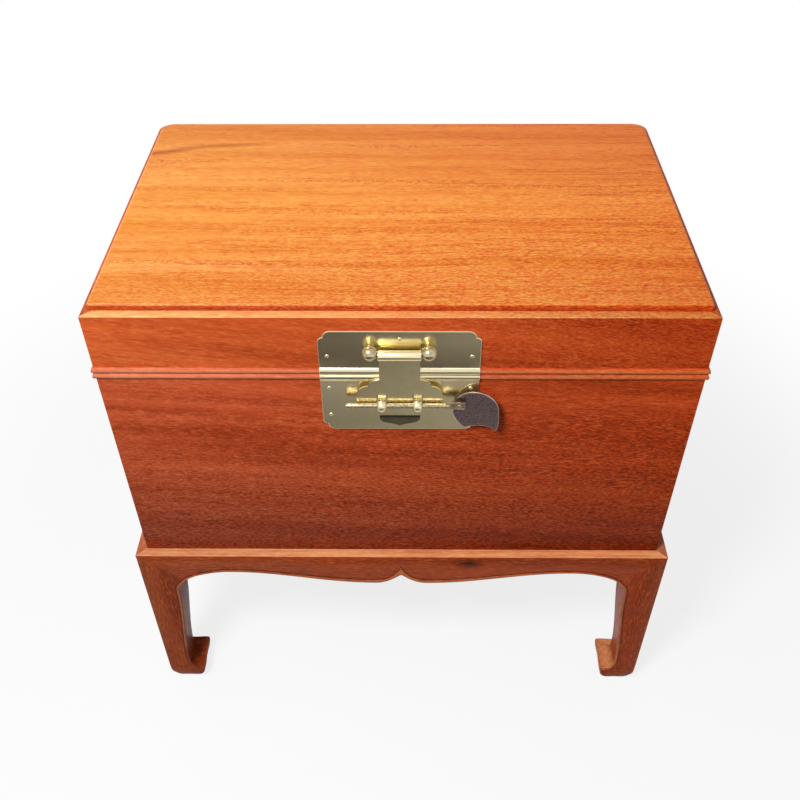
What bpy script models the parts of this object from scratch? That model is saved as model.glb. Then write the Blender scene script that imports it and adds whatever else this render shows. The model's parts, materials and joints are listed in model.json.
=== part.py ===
"""Rosewood storage box with a brass lock, resting loose on a hoof-footed stand.

Metres, +Z up. The front faces -Y, the floor is Z = 0, and the origin is the middle of the stand's footprint.
Run with: blender --background --python part.py
"""

import math

import bmesh
import bpy
from mathutils import Matrix, Vector

# Clearances
GAP = 0.0003
PANEL_PLAY = 0.0008
HASP_CLEAR = 0.0008
PIN_CLEAR = 0.0006
SEAT_PLAY = 0.0005

# Box and lid
BOX_WIDTH = 0.600
BOX_DEPTH = 0.394
BOX_SHOWN = 0.2738
WALL = 0.015
BEAD_HEIGHT = 0.0068
BEAD_OUT = 0.0026
BOTTOM_THICK = 0.012
GROOVE_DEPTH = 0.006
GROOVE_HEIGHT = 0.006
GROOVE_RISE = 0.0035
LID_HEIGHT = 0.0687
LID_RIM = 0.010
LID_BACK_CORNER = 0.014
RIM_ROUND = 0.0010
FIELD_RISE = 0.0062
FIELD_LET_IN = 0.008
FIELD_SIDE = 0.0062
FIELD_ROUND = 0.0016
FIELD_CORNER = 0.004
FIELD_BACK_CORNER = 0.012
BATTEN_X = 0.150
BATTEN_WIDTH = 0.036
BATTEN_THICK = 0.012
KEY_HEIGHT = 0.004
KEY_NECK = 0.014
KEY_WIDE = 0.018

# Lapped dovetails in the mitred corners
TAIL_SKIN = 0.005
TAIL_LENGTH = 0.007
TAIL_NARROW = 0.010
TAIL_WIDE = 0.016
TAIL_ROOT = 0.002
TAIL_PITCH = 0.050
TAIL_MARGIN = 0.020

# Stand
STAND_HEIGHT = 0.264
LEDGE = 0.012
SEAT_DROP = 0.006
APRON_THICK = 0.028
APRON_THIN = 0.031
APRON_THIN_REACH = 0.056
APRON_LOBE = 0.051
APRON_CUSP = 0.0358
LOBE_HALF = 0.030
LOBE_PULL = 0.013
CUSP_PULL = (0.007, 0.0052)
SWAY_SHARE = 0.37
LEG_HEAD = 0.052
LEG_MITRE = 0.0485
MITRE_PULL = (0.008, 0.010)
LEG_SHOULDER = 0.0405
LEG_SHOULDER_DROP = 0.072
LEG_ANKLE = 0.034
LEG_ANKLE_HEIGHT = 0.046
LEG_SWAY = 0.045
LEG_CHAMFER = 0.0012
HOOF_HEIGHT = 0.0245
HOOF_TIP = 0.047
HOOF_BULGE = 0.048
HOOF_SOLE = 0.043
HOOF_CURL = 0.004
HEEL_ROUND = 0.016
HEEL_HEIGHT = 0.030
TENON_LENGTH = 0.012
TENON_THICK = 0.008
TENON_INSET = 0.015
TENON_TOP = 0.012
TENON_HEIGHT = 0.018
BEARER_X = 0.150
BEARER_WIDTH = 0.040
BEARER_HEIGHT = 0.018
BEARER_HOUSING = 0.010

# Brass plates, nails and hinges
PLATE = 0.0012
LOCK_WIDTH = 0.157
LOCK_UP = 0.0532
LOCK_DOWN = 0.0748
CORNER_STEP = 0.0042
CORNER_ROUND = 0.0048
NAIL_HEAD = 0.0017
NAIL_DOME = 0.0008
NAIL_SHANK = 0.00075
NAIL_LENGTH = 0.010
NAIL_POINT = 0.0003
NAIL_TAPER = 0.002
LOCK_NAIL_INSET = 0.0085
LOCK_NAIL_TOP = 0.0090
LOCK_NAIL_UP = 0.0229
LOCK_NAIL_HIGH = 0.0178
LOCK_NAIL_LOW = 0.0210
HINGE_X = 0.170
HINGE_WIDTH = 0.050
HINGE_LEAF = 0.045
HINGE_OUT = 0.006
KNUCKLE = 0.0035
KNUCKLE_MIDDLE = 0.020
HINGE_PIN = 0.0015
HINGE_PIN_HEAD = 0.0026
HINGE_PIN_CAP = 0.0015
HINGE_NAIL_INSET = 0.008
HINGE_NAIL_LOW = 0.015
STRAP_LENGTH = 0.014

# Hasp and its posts
HASP_RISE = 0.0310
HASP_THICK = 0.0015
BARREL = 0.0052
BARREL_LENGTH = 0.0415
AXLE = 0.0016
AXLE_IN_BALL = 0.0030
BALL = 0.0066
POST_NECK = 0.0030
POST_FLANGE = 0.0042
POST_FLANGE_THICK = 0.0010
POST_TANG = 0.0022
POST_TANG_LENGTH = 0.011
POST_TANG_POINT = 0.0013
POST_TANG_TAPER = 0.0022
HASP_NECK = 0.0200
HASP_NECK_END = 0.0350
HASP_STEP = 0.0315
HASP_STEP_DROP = 0.0433
HASP_WIDE = 0.0430
HASP_WIDE_DROP = 0.0570
HASP_LOWER_EDGE = 0.0745
HASP_TAIL = 0.0205
HASP_TAIL_FILLET = 0.0020
HASP_BEND_DROP = 0.0840
HASP_TIP = 0.0090
HASP_TIP_ANGLE = 35.0
HASP_TIP_CHEEK = 0.0070
HASP_TIP_PULL = (0.0092, 0.0054)
SLOT_HALF = 0.0053
SLOT_TOP = 0.0540
SLOT_END = 0.0724

# Eyes, lock pin and its leaf-shaped pull
EYE_X = 0.0179
EYE_WIDTH = 0.0082
EYE_ROUND = 0.0062
EYE_HOLE = 0.0034
EYE_SHANK = 0.0080
EYE_TANG = 0.0050
EYE_TANG_LENGTH = 0.012
PIN_DROP = 0.0655
PIN = 0.0025
PIN_FLARE = 0.0030
PIN_FLARE_LENGTH = 0.010
PIN_CAP = 0.0015
PIN_SHOULDER = 0.0020
PIN_LEFT = 0.0535
PIN_ROD_END = 0.0500
TAB_END = 0.0655
TAB_ROOT = 0.004
TAB_HALF = 0.0042
TAB_THICK = 0.0020
LEAF_X = 0.0760
LEAF_DROP = 0.0050
LEAF_ROUND = 0.0248
LEAF_THICK = 0.0015
LEAF_TIP = (0.0203, -0.0290)
LEAF_HEEL_ANGLE = 244.0
LEAF_CHEEK_ANGLE = -15.0
LEAF_CHEEK_SWELL = 0.0255
LEAF_BITE = 0.0150
RIVET_X = 0.0595
RIVET = 0.0014
RIVET_HEAD = 0.0023
RIVET_CAP = 0.0007

# Facets in a full turn, in a quarter turn and along a curve, and the angles where a cap and a ball end
ROUND_SIDES = 24
NAIL_SIDES = 10
ARC_STEPS = 5
SMALL_ARC_STEPS = 3
CURVE_STEPS = 8
LEAF_STEPS = 26
CAP_ANGLE = 75.0
BALL_ANGLE = 175.0

# Levels and depths that follow from the sizes above
SEAT = STAND_HEIGHT - SEAT_DROP
BOX_FLOOR = SEAT + GAP
JOINT = STAND_HEIGHT + BOX_SHOWN
RIM = JOINT + LID_HEIGHT
FIELD_FLOOR = RIM - FIELD_LET_IN
LAP = LEDGE - SEAT_PLAY
STAND_WIDTH = BOX_WIDTH + 2 * LEDGE
STAND_DEPTH = BOX_DEPTH + 2 * LEDGE
MITRE_SETBACK = GAP / math.sqrt(2)
FACE = BOX_DEPTH / 2
PLATE_FRONT = GAP + PLATE
HASP_BACK = BEAD_OUT + PLATE_FRONT + HASP_CLEAR
BARREL_OUT = HASP_BACK + BARREL
BARREL_AXIS = Vector((0, -FACE - BARREL_OUT, JOINT + HASP_RISE))
PIN_OUT = HASP_BACK + HASP_THICK + PIN_CLEAR + PIN
PIN_AXIS = Vector((0, -FACE - PIN_OUT, BARREL_AXIS.z - PIN_DROP))
LID_AXIS = Vector((0, FACE + HINGE_OUT, JOINT))
POST_X = BARREL_LENGTH / 2 + BALL + GAP

# Finish of each kind of piece: colour, roughness, metallic
TOP_WOOD = ((0.42, 0.12, 0.035), 0.35, 0.0)
BOX_WOOD = ((0.24, 0.055, 0.022), 0.38, 0.0)
STAND_WOOD = ((0.17, 0.04, 0.018), 0.40, 0.0)
HIDDEN_WOOD = ((0.22, 0.08, 0.035), 0.60, 0.0)
BRASS = ((0.62, 0.46, 0.20), 0.22, 1.0)
OLD_BRASS = ((0.42, 0.31, 0.15), 0.35, 1.0)
DARK_BRONZE = ((0.11, 0.09, 0.09), 0.45, 1.0)


# Shapes
def loft(rings):
    """Closed solid through rings that have the same number of points."""
    shape = bmesh.new()
    rows = [[shape.verts.new(point) for point in ring] for ring in rings]
    for low, high in zip(rows, rows[1:]):
        for i, vert in enumerate(low):
            shape.faces.new((low[i - 1], vert, high[i], high[i - 1]))
    shape.faces.new(rows[0])
    shape.faces.new(rows[-1])
    bmesh.ops.recalc_face_normals(shape, faces=shape.faces[:])
    return shape


def prism(outline, sweep):
    return loft([outline, [Vector(point) + Vector(sweep) for point in outline]])


def block(low, high):
    low, high = Vector(low), Vector(high)
    shape = bmesh.new()
    place = Matrix.Translation((low + high) / 2) @ Matrix.Diagonal((*(high - low), 1))
    bmesh.ops.create_cube(shape, size=1, matrix=place)
    return shape


def turned(profile, base, axis, sides=ROUND_SIDES):
    """Turned solid: the profile's (radius, distance) pairs run along an axis from its base."""
    turn = Vector((0, 0, 1)).rotation_difference(Vector(axis)).to_matrix()
    rings = []
    for radius, along in profile:
        ring = []
        for i in range(sides):
            angle = math.tau * (i + 0.5) / sides
            spoke = Vector((radius * math.cos(angle), radius * math.sin(angle), along))
            ring.append(Vector(base) + turn @ spoke)
        rings.append(ring)
    return loft(rings)


def rod(radius, start, end, sides=ROUND_SIDES):
    axis = Vector(end) - Vector(start)
    return turned([(radius, 0), (radius, axis.length)], start, axis.normalized(), sides)


def arc(centre, radii, start, end, steps=ARC_STEPS):
    """Points of an elliptical arc in a plane, from one angle in degrees to another."""
    points = []
    for i in range(steps + 1):
        angle = math.radians(start + (end - start) * i / steps)
        points.append((centre[0] + radii[0] * math.cos(angle), centre[1] + radii[1] * math.sin(angle)))
    return points


def bezier(start, pull_start, pull_end, end, steps=CURVE_STEPS):
    """Points of a cubic curve in a plane."""
    points = []
    for i in range(steps + 1):
        t = i / steps
        weights = ((1 - t) ** 3, 3 * t * (1 - t) ** 2, 3 * t * t * (1 - t), t**3)
        corners = zip(weights, (start, pull_start, pull_end, end))
        points.append(tuple(sum((w * Vector(c) for w, c in corners), Vector((0, 0)))))
    return points


def together(shapes):
    """One mesh of several separate shapes."""
    joined = bmesh.new()
    for shape in shapes:
        mesh = bpy.data.meshes.new("shape")
        shape.to_mesh(mesh)
        joined.from_mesh(mesh)
        bpy.data.meshes.remove(mesh)
    return joined


def combine(shape, tools, operation):
    """The shape after a Boolean with each tool in turn."""
    for tool in tools:
        objects = []
        for source in (shape, tool):
            mesh = bpy.data.meshes.new("operand")
            source.to_mesh(mesh)
            objects.append(bpy.data.objects.new("operand", mesh))
            bpy.context.collection.objects.link(objects[-1])
        host, guest = objects
        modifier = host.modifiers.new("combine", "BOOLEAN")
        modifier.object = guest
        modifier.operation = operation
        shape = bmesh.new()
        shape.from_object(host, bpy.context.evaluated_depsgraph_get())
        for item in objects:
            bpy.data.meshes.remove(item.data)
    return shape


def cut(shape, *tools):
    return combine(shape, tools, "DIFFERENCE")


def fuse(shape, *tools):
    return combine(shape, tools, "UNION")


# Objects
def carrier(name, place, parent=None):
    empty = bpy.data.objects.new(name, None)
    empty.empty_display_size = BOX_WIDTH / 10
    bpy.context.collection.objects.link(empty)
    empty.parent = parent
    empty.location = Vector(place)
    if parent:
        empty.matrix_parent_inverse = parent.matrix_world.inverted()
    bpy.context.view_layer.update()
    return empty


def piece(name, shape, finish, parent):
    """One named object with its own material, its origin in its middle, under its body's empty."""
    corners = [vert.co for vert in shape.verts]
    low = Vector(map(min, zip(*corners)))
    high = Vector(map(max, zip(*corners)))
    middle = (low + high) / 2
    shape.transform(Matrix.Translation(-middle))
    mesh = bpy.data.meshes.new(name)
    shape.to_mesh(mesh)
    material = bpy.data.materials.new(name)
    material.use_nodes = True
    surface = material.node_tree.nodes["Principled BSDF"]
    colour, roughness, metallic = finish
    surface.inputs["Base Color"].default_value = (*colour, 1)
    surface.inputs["Roughness"].default_value = roughness
    surface.inputs["Metallic"].default_value = metallic
    mesh.materials.append(material)
    obj = bpy.data.objects.new(name, mesh)
    bpy.context.collection.objects.link(obj)
    obj.parent = parent
    obj.location = middle
    obj.matrix_parent_inverse = parent.matrix_world.inverted()


# Boards that run round a frame with mitred corners
SIDES = ("front", "right", "back", "left")
HANDS = (("left", -1), ("right", 1))


def side_spans(side, width, depth):
    """Half run and offset of one side of a frame, with the turn that brings it round from the front."""
    turn = SIDES.index(side)
    spans = (width / 2, depth / 2) if turn % 2 == 0 else (depth / 2, width / 2)
    return spans[0], spans[1], Matrix.Rotation(turn * math.pi / 2, 4, "Z")


def mitred_board(side, section):
    """A board whose (inset, height) section follows one side of the box."""
    run, offset, turn = side_spans(side, BOX_WIDTH, BOX_DEPTH)
    rings = []
    for end in (-1, 1):
        rings.append([(end * (run - inset - MITRE_SETBACK), inset - offset, z) for inset, z in section])
    board = loft(rings)
    board.transform(turn)
    return board


def bead(low):
    """Half-round along the joint of lid and box, as (inset, height) points going up."""
    return arc((0, low + BEAD_HEIGHT / 2), (-BEAD_OUT, BEAD_HEIGHT / 2), -90, 90, CURVE_STEPS)


def wall_section():
    top = JOINT - GAP / 2
    groove = BOX_FLOOR + GROOVE_RISE
    section = [(0, BOX_FLOOR)] + bead(top - BEAD_HEIGHT)
    section += [(WALL, top), (WALL, groove + GROOVE_HEIGHT), (WALL - GROOVE_DEPTH, groove + GROOVE_HEIGHT)]
    section += [(WALL - GROOVE_DEPTH, groove), (WALL, groove), (WALL, BOX_FLOOR)]
    return section


def rail_section():
    low = JOINT + GAP / 2
    section = bead(low) + arc((RIM_ROUND, RIM - RIM_ROUND), (RIM_ROUND, RIM_ROUND), 180, 90, SMALL_ARC_STEPS)
    section += [(LID_RIM, RIM), (LID_RIM, FIELD_FLOOR), (WALL, FIELD_FLOOR), (WALL, low)]
    return section


def dovetail(corner, height, ease):
    """Key that crosses the mitre from an end board into a long board, or its socket with some ease."""
    narrow, wide = TAIL_SKIN - ease, TAIL_SKIN + TAIL_LENGTH + ease
    plan = [(narrow, narrow), (wide, narrow), (wide, wide + TAIL_ROOT), (narrow, narrow + TAIL_ROOT)]
    rings = []
    for up in (-1, 1):
        ring = []
        for across, inward in plan:
            share = (across - narrow) / (wide - narrow)
            half = (TAIL_NARROW + (TAIL_WIDE - TAIL_NARROW) * share) / 2 + ease
            x = corner[0] * (BOX_WIDTH / 2 - across)
            y = corner[1] * (BOX_DEPTH / 2 - inward)
            ring.append((x, y, height + up * half))
        rings.append(ring)
    return loft(rings)


def dovetail_heights(low, high):
    first, last = low + TAIL_MARGIN, high - TAIL_MARGIN
    steps = max(1, int((last - first) / TAIL_PITCH))
    return [first + (last - first) * i / steps for i in range(steps + 1)]


def board_corners(side):
    turn = {"front": ((-1, -1), (1, -1)), "back": ((-1, 1), (1, 1))}
    turn.update({"left": ((-1, -1), (-1, 1)), "right": ((1, -1), (1, 1))})
    return turn[side]


def jointed_board(side, section, low, high):
    """A mitred board with dovetail keys on an end board or sockets in a long board."""
    board = mitred_board(side, section)
    long_board = side in ("front", "back")
    ease = GAP if long_board else 0
    keys = []
    for corner in board_corners(side):
        keys += [dovetail(corner, height, ease) for height in dovetail_heights(low, high)]
    return cut(board, together(keys)) if long_board else fuse(board, together(keys))


# Stand
def apron_edge(half_run):
    """Lower edge of an apron from leg to middle, as (distance from the outer corner, drop) points."""
    lobe = half_run - LOBE_HALF
    thin = LEG_HEAD + APRON_THIN_REACH
    sway = (lobe - thin) * SWAY_SHARE
    edge = bezier(
        (LEG_HEAD, LEG_MITRE),
        (LEG_HEAD + MITRE_PULL[0], LEG_MITRE - MITRE_PULL[1]),
        (thin - APRON_THIN_REACH * SWAY_SHARE, APRON_THIN),
        (thin, APRON_THIN),
    )
    edge += bezier(
        (thin, APRON_THIN),
        (thin + sway, APRON_THIN),
        (lobe - sway, APRON_LOBE),
        (lobe, APRON_LOBE),
    )[1:]
    edge += bezier(
        (lobe, APRON_LOBE),
        (lobe + LOBE_PULL, APRON_LOBE),
        (half_run - CUSP_PULL[0], APRON_CUSP + CUSP_PULL[1]),
        (half_run, APRON_CUSP),
    )[1:]
    return edge


def apron(side):
    """Shaped apron whose top is the ledge: its ends lap the legs with a mitre, and tenons enter them."""
    run, offset, turn = side_spans(side, STAND_WIDTH, STAND_DEPTH)
    half = [(run - along, STAND_HEIGHT - drop) for along, drop in apron_edge(run)]
    lower = [(-x, z) for x, z in half] + [(x, z) for x, z in reversed(half[:-1])]
    outline = [(x, -offset, z) for x, z in [(-run, STAND_HEIGHT)] + lower + [(run, STAND_HEIGHT)]]
    shape = prism(outline, (0, APRON_THICK, 0))
    past = APRON_THICK
    inner = -offset + APRON_THICK + past
    seat = block((-run, -offset + LAP, SEAT), (run, inner, STAND_HEIGHT + past))
    shape = cut(shape, seat)
    body_end = run - LEG_HEAD - GAP
    for end in (-1, 1):
        behind = sorted((end * body_end, end * (run + past)))
        shape = cut(shape, block((behind[0], -offset + LAP, 0), (behind[1], inner, STAND_HEIGHT + past)))
        corner = Vector((end * (run - MITRE_SETBACK), -offset, 0))
        beyond = ((end * past, -past, 0), (end * past, past, 0), (-end * past, past, 0))
        waste = [corner + Vector(step) for step in beyond]
        shape = cut(shape, prism(waste, (0, 0, STAND_HEIGHT + past)))
        tenon = sorted((end * (body_end - TENON_LENGTH / 2), end * (body_end + TENON_LENGTH)))
        low = (tenon[0], -offset + TENON_INSET, STAND_HEIGHT - TENON_TOP - TENON_HEIGHT)
        high = (tenon[1], -offset + TENON_INSET + TENON_THICK, STAND_HEIGHT - TENON_TOP)
        shape = fuse(shape, block(low, high))
    if side in ("front", "back"):
        floor = SEAT - BEARER_HEIGHT - GAP
        depth = -offset + APRON_THICK - BEARER_HOUSING
        for x in (-BEARER_X, BEARER_X):
            half_width = BEARER_WIDTH / 2 + GAP
            shape = cut(shape, block((x - half_width, depth, floor), (x + half_width, inner, SEAT + past)))
    shape.transform(turn)
    return shape


def leg_profile():
    """(height, outer inset, inner inset) of a leg from its sole to its head."""
    shoulder = STAND_HEIGHT - LEG_SHOULDER_DROP
    mitre = STAND_HEIGHT - LEG_MITRE
    inner = bezier(
        (HOOF_SOLE, 0),
        (HOOF_BULGE, HOOF_HEIGHT / 3),
        (HOOF_BULGE, HOOF_HEIGHT * 2 / 3),
        (HOOF_TIP, HOOF_HEIGHT),
    )
    inner += bezier(
        (HOOF_TIP, HOOF_HEIGHT),
        (LEG_ANKLE + HOOF_CURL, HOOF_HEIGHT),
        (LEG_ANKLE, HOOF_HEIGHT + HOOF_CURL),
        (LEG_ANKLE, LEG_ANKLE_HEIGHT),
    )[1:]
    inner += bezier(
        (LEG_ANKLE, LEG_ANKLE_HEIGHT),
        (LEG_ANKLE, LEG_ANKLE_HEIGHT + LEG_SWAY),
        (LEG_SHOULDER, shoulder - LEG_SWAY),
        (LEG_SHOULDER, shoulder),
    )[1:]
    inner += bezier(
        (LEG_SHOULDER, shoulder),
        (LEG_SHOULDER, (shoulder + mitre) / 2),
        (LEG_HEAD - MITRE_PULL[0], mitre - MITRE_PULL[1]),
        (LEG_HEAD, mitre),
        ARC_STEPS,
    )[1:]
    inner.append((LEG_HEAD, STAND_HEIGHT))
    profile = []
    for inset, height in inner:
        share = max(0, 1 - height / HEEL_HEIGHT)
        profile.append((height, HEEL_ROUND * (1 - math.sqrt(1 - share * share)), inset))
    return profile


def leg(side_x, side_y):
    """Square hoof leg sawn to its profile on both outer faces. Its head takes the aprons' laps and tenons."""

    def place(across, inward, z):
        return (side_x * (STAND_WIDTH / 2 - across), side_y * (STAND_DEPTH / 2 - inward), z)

    def volume(low, high):
        ends = [place(*low), place(*high)]
        return block([min(pair) for pair in zip(*ends)], [max(pair) for pair in zip(*ends)])

    rings = []
    for height, outer, inner in leg_profile():
        near, far = outer + LEG_CHAMFER, inner - LEG_CHAMFER
        plan = [(near, outer), (far, outer), (inner, near), (inner, far)]
        plan += [(far, inner), (near, inner), (outer, far), (outer, near)]
        rings.append([place(across, inward, height) for across, inward in plan])
    shape = loft(rings)
    past = LEDGE
    slope = LEG_MITRE / LEG_HEAD
    drop = GAP * math.hypot(1, slope)
    reach = LEG_HEAD + past
    lap = LAP + GAP
    line = [(-past, STAND_HEIGHT + past * slope - drop), (reach, STAND_HEIGHT - reach * slope - drop)]
    line += [(reach, STAND_HEIGHT + 2 * past), (-past, STAND_HEIGHT + 2 * past)]
    front = [place(across, -past, z) for across, z in line]
    flank = [place(-past, inward, z) for inward, z in line]
    shape = cut(shape, prism(front, (0, -side_y * (lap + past), 0)))
    shape = cut(shape, prism(flank, (-side_x * (lap + past), 0, 0)))
    shape = cut(shape, volume((LAP, LAP, SEAT), (reach, reach, STAND_HEIGHT + past)))
    start = LEG_HEAD - TENON_LENGTH - GAP
    sides = (TENON_INSET - GAP, TENON_INSET + TENON_THICK + GAP)
    top = STAND_HEIGHT - TENON_TOP + GAP
    low = top - TENON_HEIGHT - 2 * GAP
    shape = cut(shape, volume((start, sides[0], low), (reach, sides[1], top)))
    return cut(shape, volume((sides[0], start, low), (sides[1], reach, top)))


def bearer(x):
    end = STAND_DEPTH / 2 - APRON_THICK + BEARER_HOUSING - GAP
    half = BEARER_WIDTH / 2
    return block((x - half, -end, SEAT - BEARER_HEIGHT), (x + half, end, SEAT))


# Panels
def bottom_board():
    """Bottom board: its tongue runs in the walls' grooves, and its underside is level with their feet."""
    inside = Vector((BOX_WIDTH / 2 - WALL - GAP, BOX_DEPTH / 2 - WALL - GAP))
    tongue = inside + Vector((1, 1)) * (GROOVE_DEPTH + GAP - PANEL_PLAY)
    low = BOX_FLOOR + GROOVE_RISE + GAP
    high = BOX_FLOOR + GROOVE_RISE + GROOVE_HEIGHT - GAP
    levels = [(inside, BOX_FLOOR), (inside, low), (tongue, low), (tongue, high)]
    levels += [(inside, high), (inside, BOX_FLOOR + BOTTOM_THICK)]
    rings = []
    for half, z in levels:
        rings.append([(x * half.x, y * half.y, z) for x, y in ((-1, -1), (1, -1), (1, 1), (-1, 1))])
    return loft(rings)


def rounded_ring(side_inset, end_inset, smaller, z):
    """Rectangle inset from the box's outline, with the field's corner radii made smaller by some amount."""
    ring = []
    for i, (side_x, side_y) in enumerate(((1, 1), (-1, 1), (-1, -1), (1, -1))):
        radius = (FIELD_BACK_CORNER if side_y > 0 else FIELD_CORNER) - smaller
        x = side_x * (BOX_WIDTH / 2 - side_inset - radius)
        y = side_y * (BOX_DEPTH / 2 - end_inset - radius)
        ring += [(*point, z) for point in arc((x, y), (radius, radius), 90 * i, 90 * i + 90)]
    return ring


def batten_section(x, ease):
    """Batten with a dovetail key along its top, as (x, z) points."""
    top = FIELD_FLOOR
    half, neck, wide = BATTEN_WIDTH / 2, KEY_NECK / 2 + ease, KEY_WIDE / 2 + ease
    key = top + KEY_HEIGHT + ease
    section = [(-half, top - BATTEN_THICK), (half, top - BATTEN_THICK), (half, top), (neck, top)]
    section += [(wide, key), (-wide, key), (-neck, top), (-half, top)]
    return [(x + across, z) for across, z in section]


def batten(x):
    end = BOX_DEPTH / 2 - WALL - GAP
    return prism([(across, -end, z) for across, z in batten_section(x, 0)], (0, 2 * end, 0))


def lid_panel():
    """Raised top panel let into the rails' rebates and lapped over them, with dovetail slots for battens."""
    edge = LID_RIM + GAP
    seat = RIM + GAP
    top = RIM + FIELD_RISE
    rings = [rounded_ring(edge, edge, 0, FIELD_FLOOR + GAP), rounded_ring(edge, edge, 0, seat)]
    rings.append(rounded_ring(FIELD_SIDE, LID_RIM, 0, seat))
    centre = (FIELD_ROUND, top - FIELD_ROUND)
    for along, up in arc(centre, (FIELD_ROUND, FIELD_ROUND), 180, 90, SMALL_ARC_STEPS):
        rings.append(rounded_ring(FIELD_SIDE + along, LID_RIM + along, along / 2, up))
    panel = loft(rings)
    for x in (-BATTEN_X, BATTEN_X):
        outline = [(across, -BOX_DEPTH / 2, z) for across, z in batten_section(x, GAP)]
        panel = cut(panel, prism(outline, (0, BOX_DEPTH, 0)))
    return panel


def back_corner_waste(side_x):
    """Waste outside a rounded back corner of the lid, from above its bead."""
    low = JOINT + BEAD_HEIGHT + GAP
    radius, past = LID_BACK_CORNER, 2 * LID_BACK_CORNER
    plan = arc((0, 0), (radius, radius), 0, 90) + [(0, past), (past, past), (past, 0)]
    centre = Vector((BOX_WIDTH / 2 - radius, BOX_DEPTH / 2 - radius))
    outline = [(side_x * (centre.x + across), centre.y + back, low) for across, back in plan]
    return prism(outline, (0, 0, LID_HEIGHT))


# Brass plates
def plate_section(direction, reach, facing):
    """Section of a thin plate that lies on a face and swells over its bead, as (y, z) points."""
    middle = GAP / 2 + BEAD_HEIGHT / 2
    skins = []
    for extra in (GAP, GAP + PLATE):
        radii = (BEAD_OUT + extra, BEAD_HEIGHT / 2 + extra)
        start = -math.degrees(math.asin(BEAD_HEIGHT / 2 / radii[1]))
        end = math.degrees(math.acos(extra / radii[0]))
        skins.append(arc((0, middle), radii, start, end, CURVE_STEPS) + [(extra, reach)])
    section = skins[0] + skins[1][::-1]
    return [(facing * (FACE + out), JOINT + direction * along) for out, along in section]


def corner_waste(x, z, side_x, side_z):
    """Waste outside an indented corner at (x, z): two small rounds that meet in a notch."""
    size = CORNER_STEP + CORNER_ROUND
    curve = arc((CORNER_STEP, -size), (CORNER_STEP, CORNER_STEP), 180, 90)
    curve += arc((size, -CORNER_ROUND), (CORNER_ROUND, CORNER_ROUND), 180, 90)[1:]
    waste = [(-size, -size)] + curve + [(size, size), (-size, size)]
    outline = [(x - side_x * across, -BOX_DEPTH, z + side_z * up) for across, up in waste]
    return prism(outline, (0, 2 * BOX_DEPTH, 0))


def nail(x, z, facing):
    under = PLATE_FRONT + GAP
    profile = [(NAIL_POINT, -NAIL_LENGTH), (NAIL_SHANK, NAIL_TAPER - NAIL_LENGTH), (NAIL_SHANK, under)]
    profile += arc((0, under), (NAIL_HEAD, NAIL_DOME), 0, CAP_ANGLE, SMALL_ARC_STEPS)
    return turned(profile, (x, facing * FACE, z), (0, facing, 0), NAIL_SIDES)


def nail_hole(x, z, facing):
    start = (x, facing * (FACE - NAIL_LENGTH - GAP), z)
    end = (x, facing * (FACE + NAIL_LENGTH), z)
    return rod(NAIL_SHANK + GAP, start, end, NAIL_SIDES)


def upper_lock_nails():
    """Places of the nails in the upper lock plate, by name."""
    spots = {"top": (0, JOINT + LOCK_UP - LOCK_NAIL_TOP)}
    for hand, x in HANDS:
        spots[hand] = (x * (LOCK_WIDTH / 2 - LOCK_NAIL_INSET), JOINT + LOCK_NAIL_UP)
    return spots


def lower_lock_nails():
    """Places of the nails in the lower lock plate, by name."""
    spots = {}
    for hand, side in HANDS:
        x = side * (LOCK_WIDTH / 2 - LOCK_NAIL_INSET)
        spots[f"{hand}_high"] = (x, JOINT - LOCK_NAIL_HIGH)
        spots[f"{hand}_low"] = (x, JOINT - LOCK_DOWN + LOCK_NAIL_LOW)
    return spots


def hinge_nails(direction):
    """Places of the nails in the lid's hinge leaves (direction 1) or the box's (direction -1), by name."""
    spots = {}
    z = JOINT + direction * (HINGE_LEAF - HINGE_NAIL_LOW)
    spread = HINGE_WIDTH / 2 - HINGE_NAIL_INSET
    for hand, side in HANDS:
        spots[f"{hand}_outer"] = (side * (HINGE_X + spread), z)
        spots[f"{hand}_inner"] = (side * (HINGE_X - spread), z)
    return spots


def drive_nails(prefix, spots, facing, parent):
    for place, (x, z) in spots.items():
        piece(f"{prefix}_{place}", nail(x, z, facing), OLD_BRASS, parent)


def nail_holes(spots, facing):
    return together([nail_hole(x, z, facing) for x, z in spots.values()])


def lock_plate(direction, reach, spots):
    half = LOCK_WIDTH / 2
    section = plate_section(direction, reach, -1)
    plate = prism([(-half, y, z) for y, z in section], (LOCK_WIDTH, 0, 0))
    edge = JOINT + direction * reach
    for side in (-1, 1):
        plate = cut(plate, corner_waste(side * half, edge, side, direction))
    return cut(plate, nail_holes(spots, -1))


# Hinges
def knuckle_spans(owner):
    """X ranges of the hinge knuckles that belong to the lid's leaf or to the box's leaf."""
    middle = KNUCKLE_MIDDLE / 2
    if owner == "lid":
        return [(-middle + GAP / 2, middle - GAP / 2)]
    return [(-HINGE_WIDTH / 2, -middle - GAP / 2), (middle + GAP / 2, HINGE_WIDTH / 2)]


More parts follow.
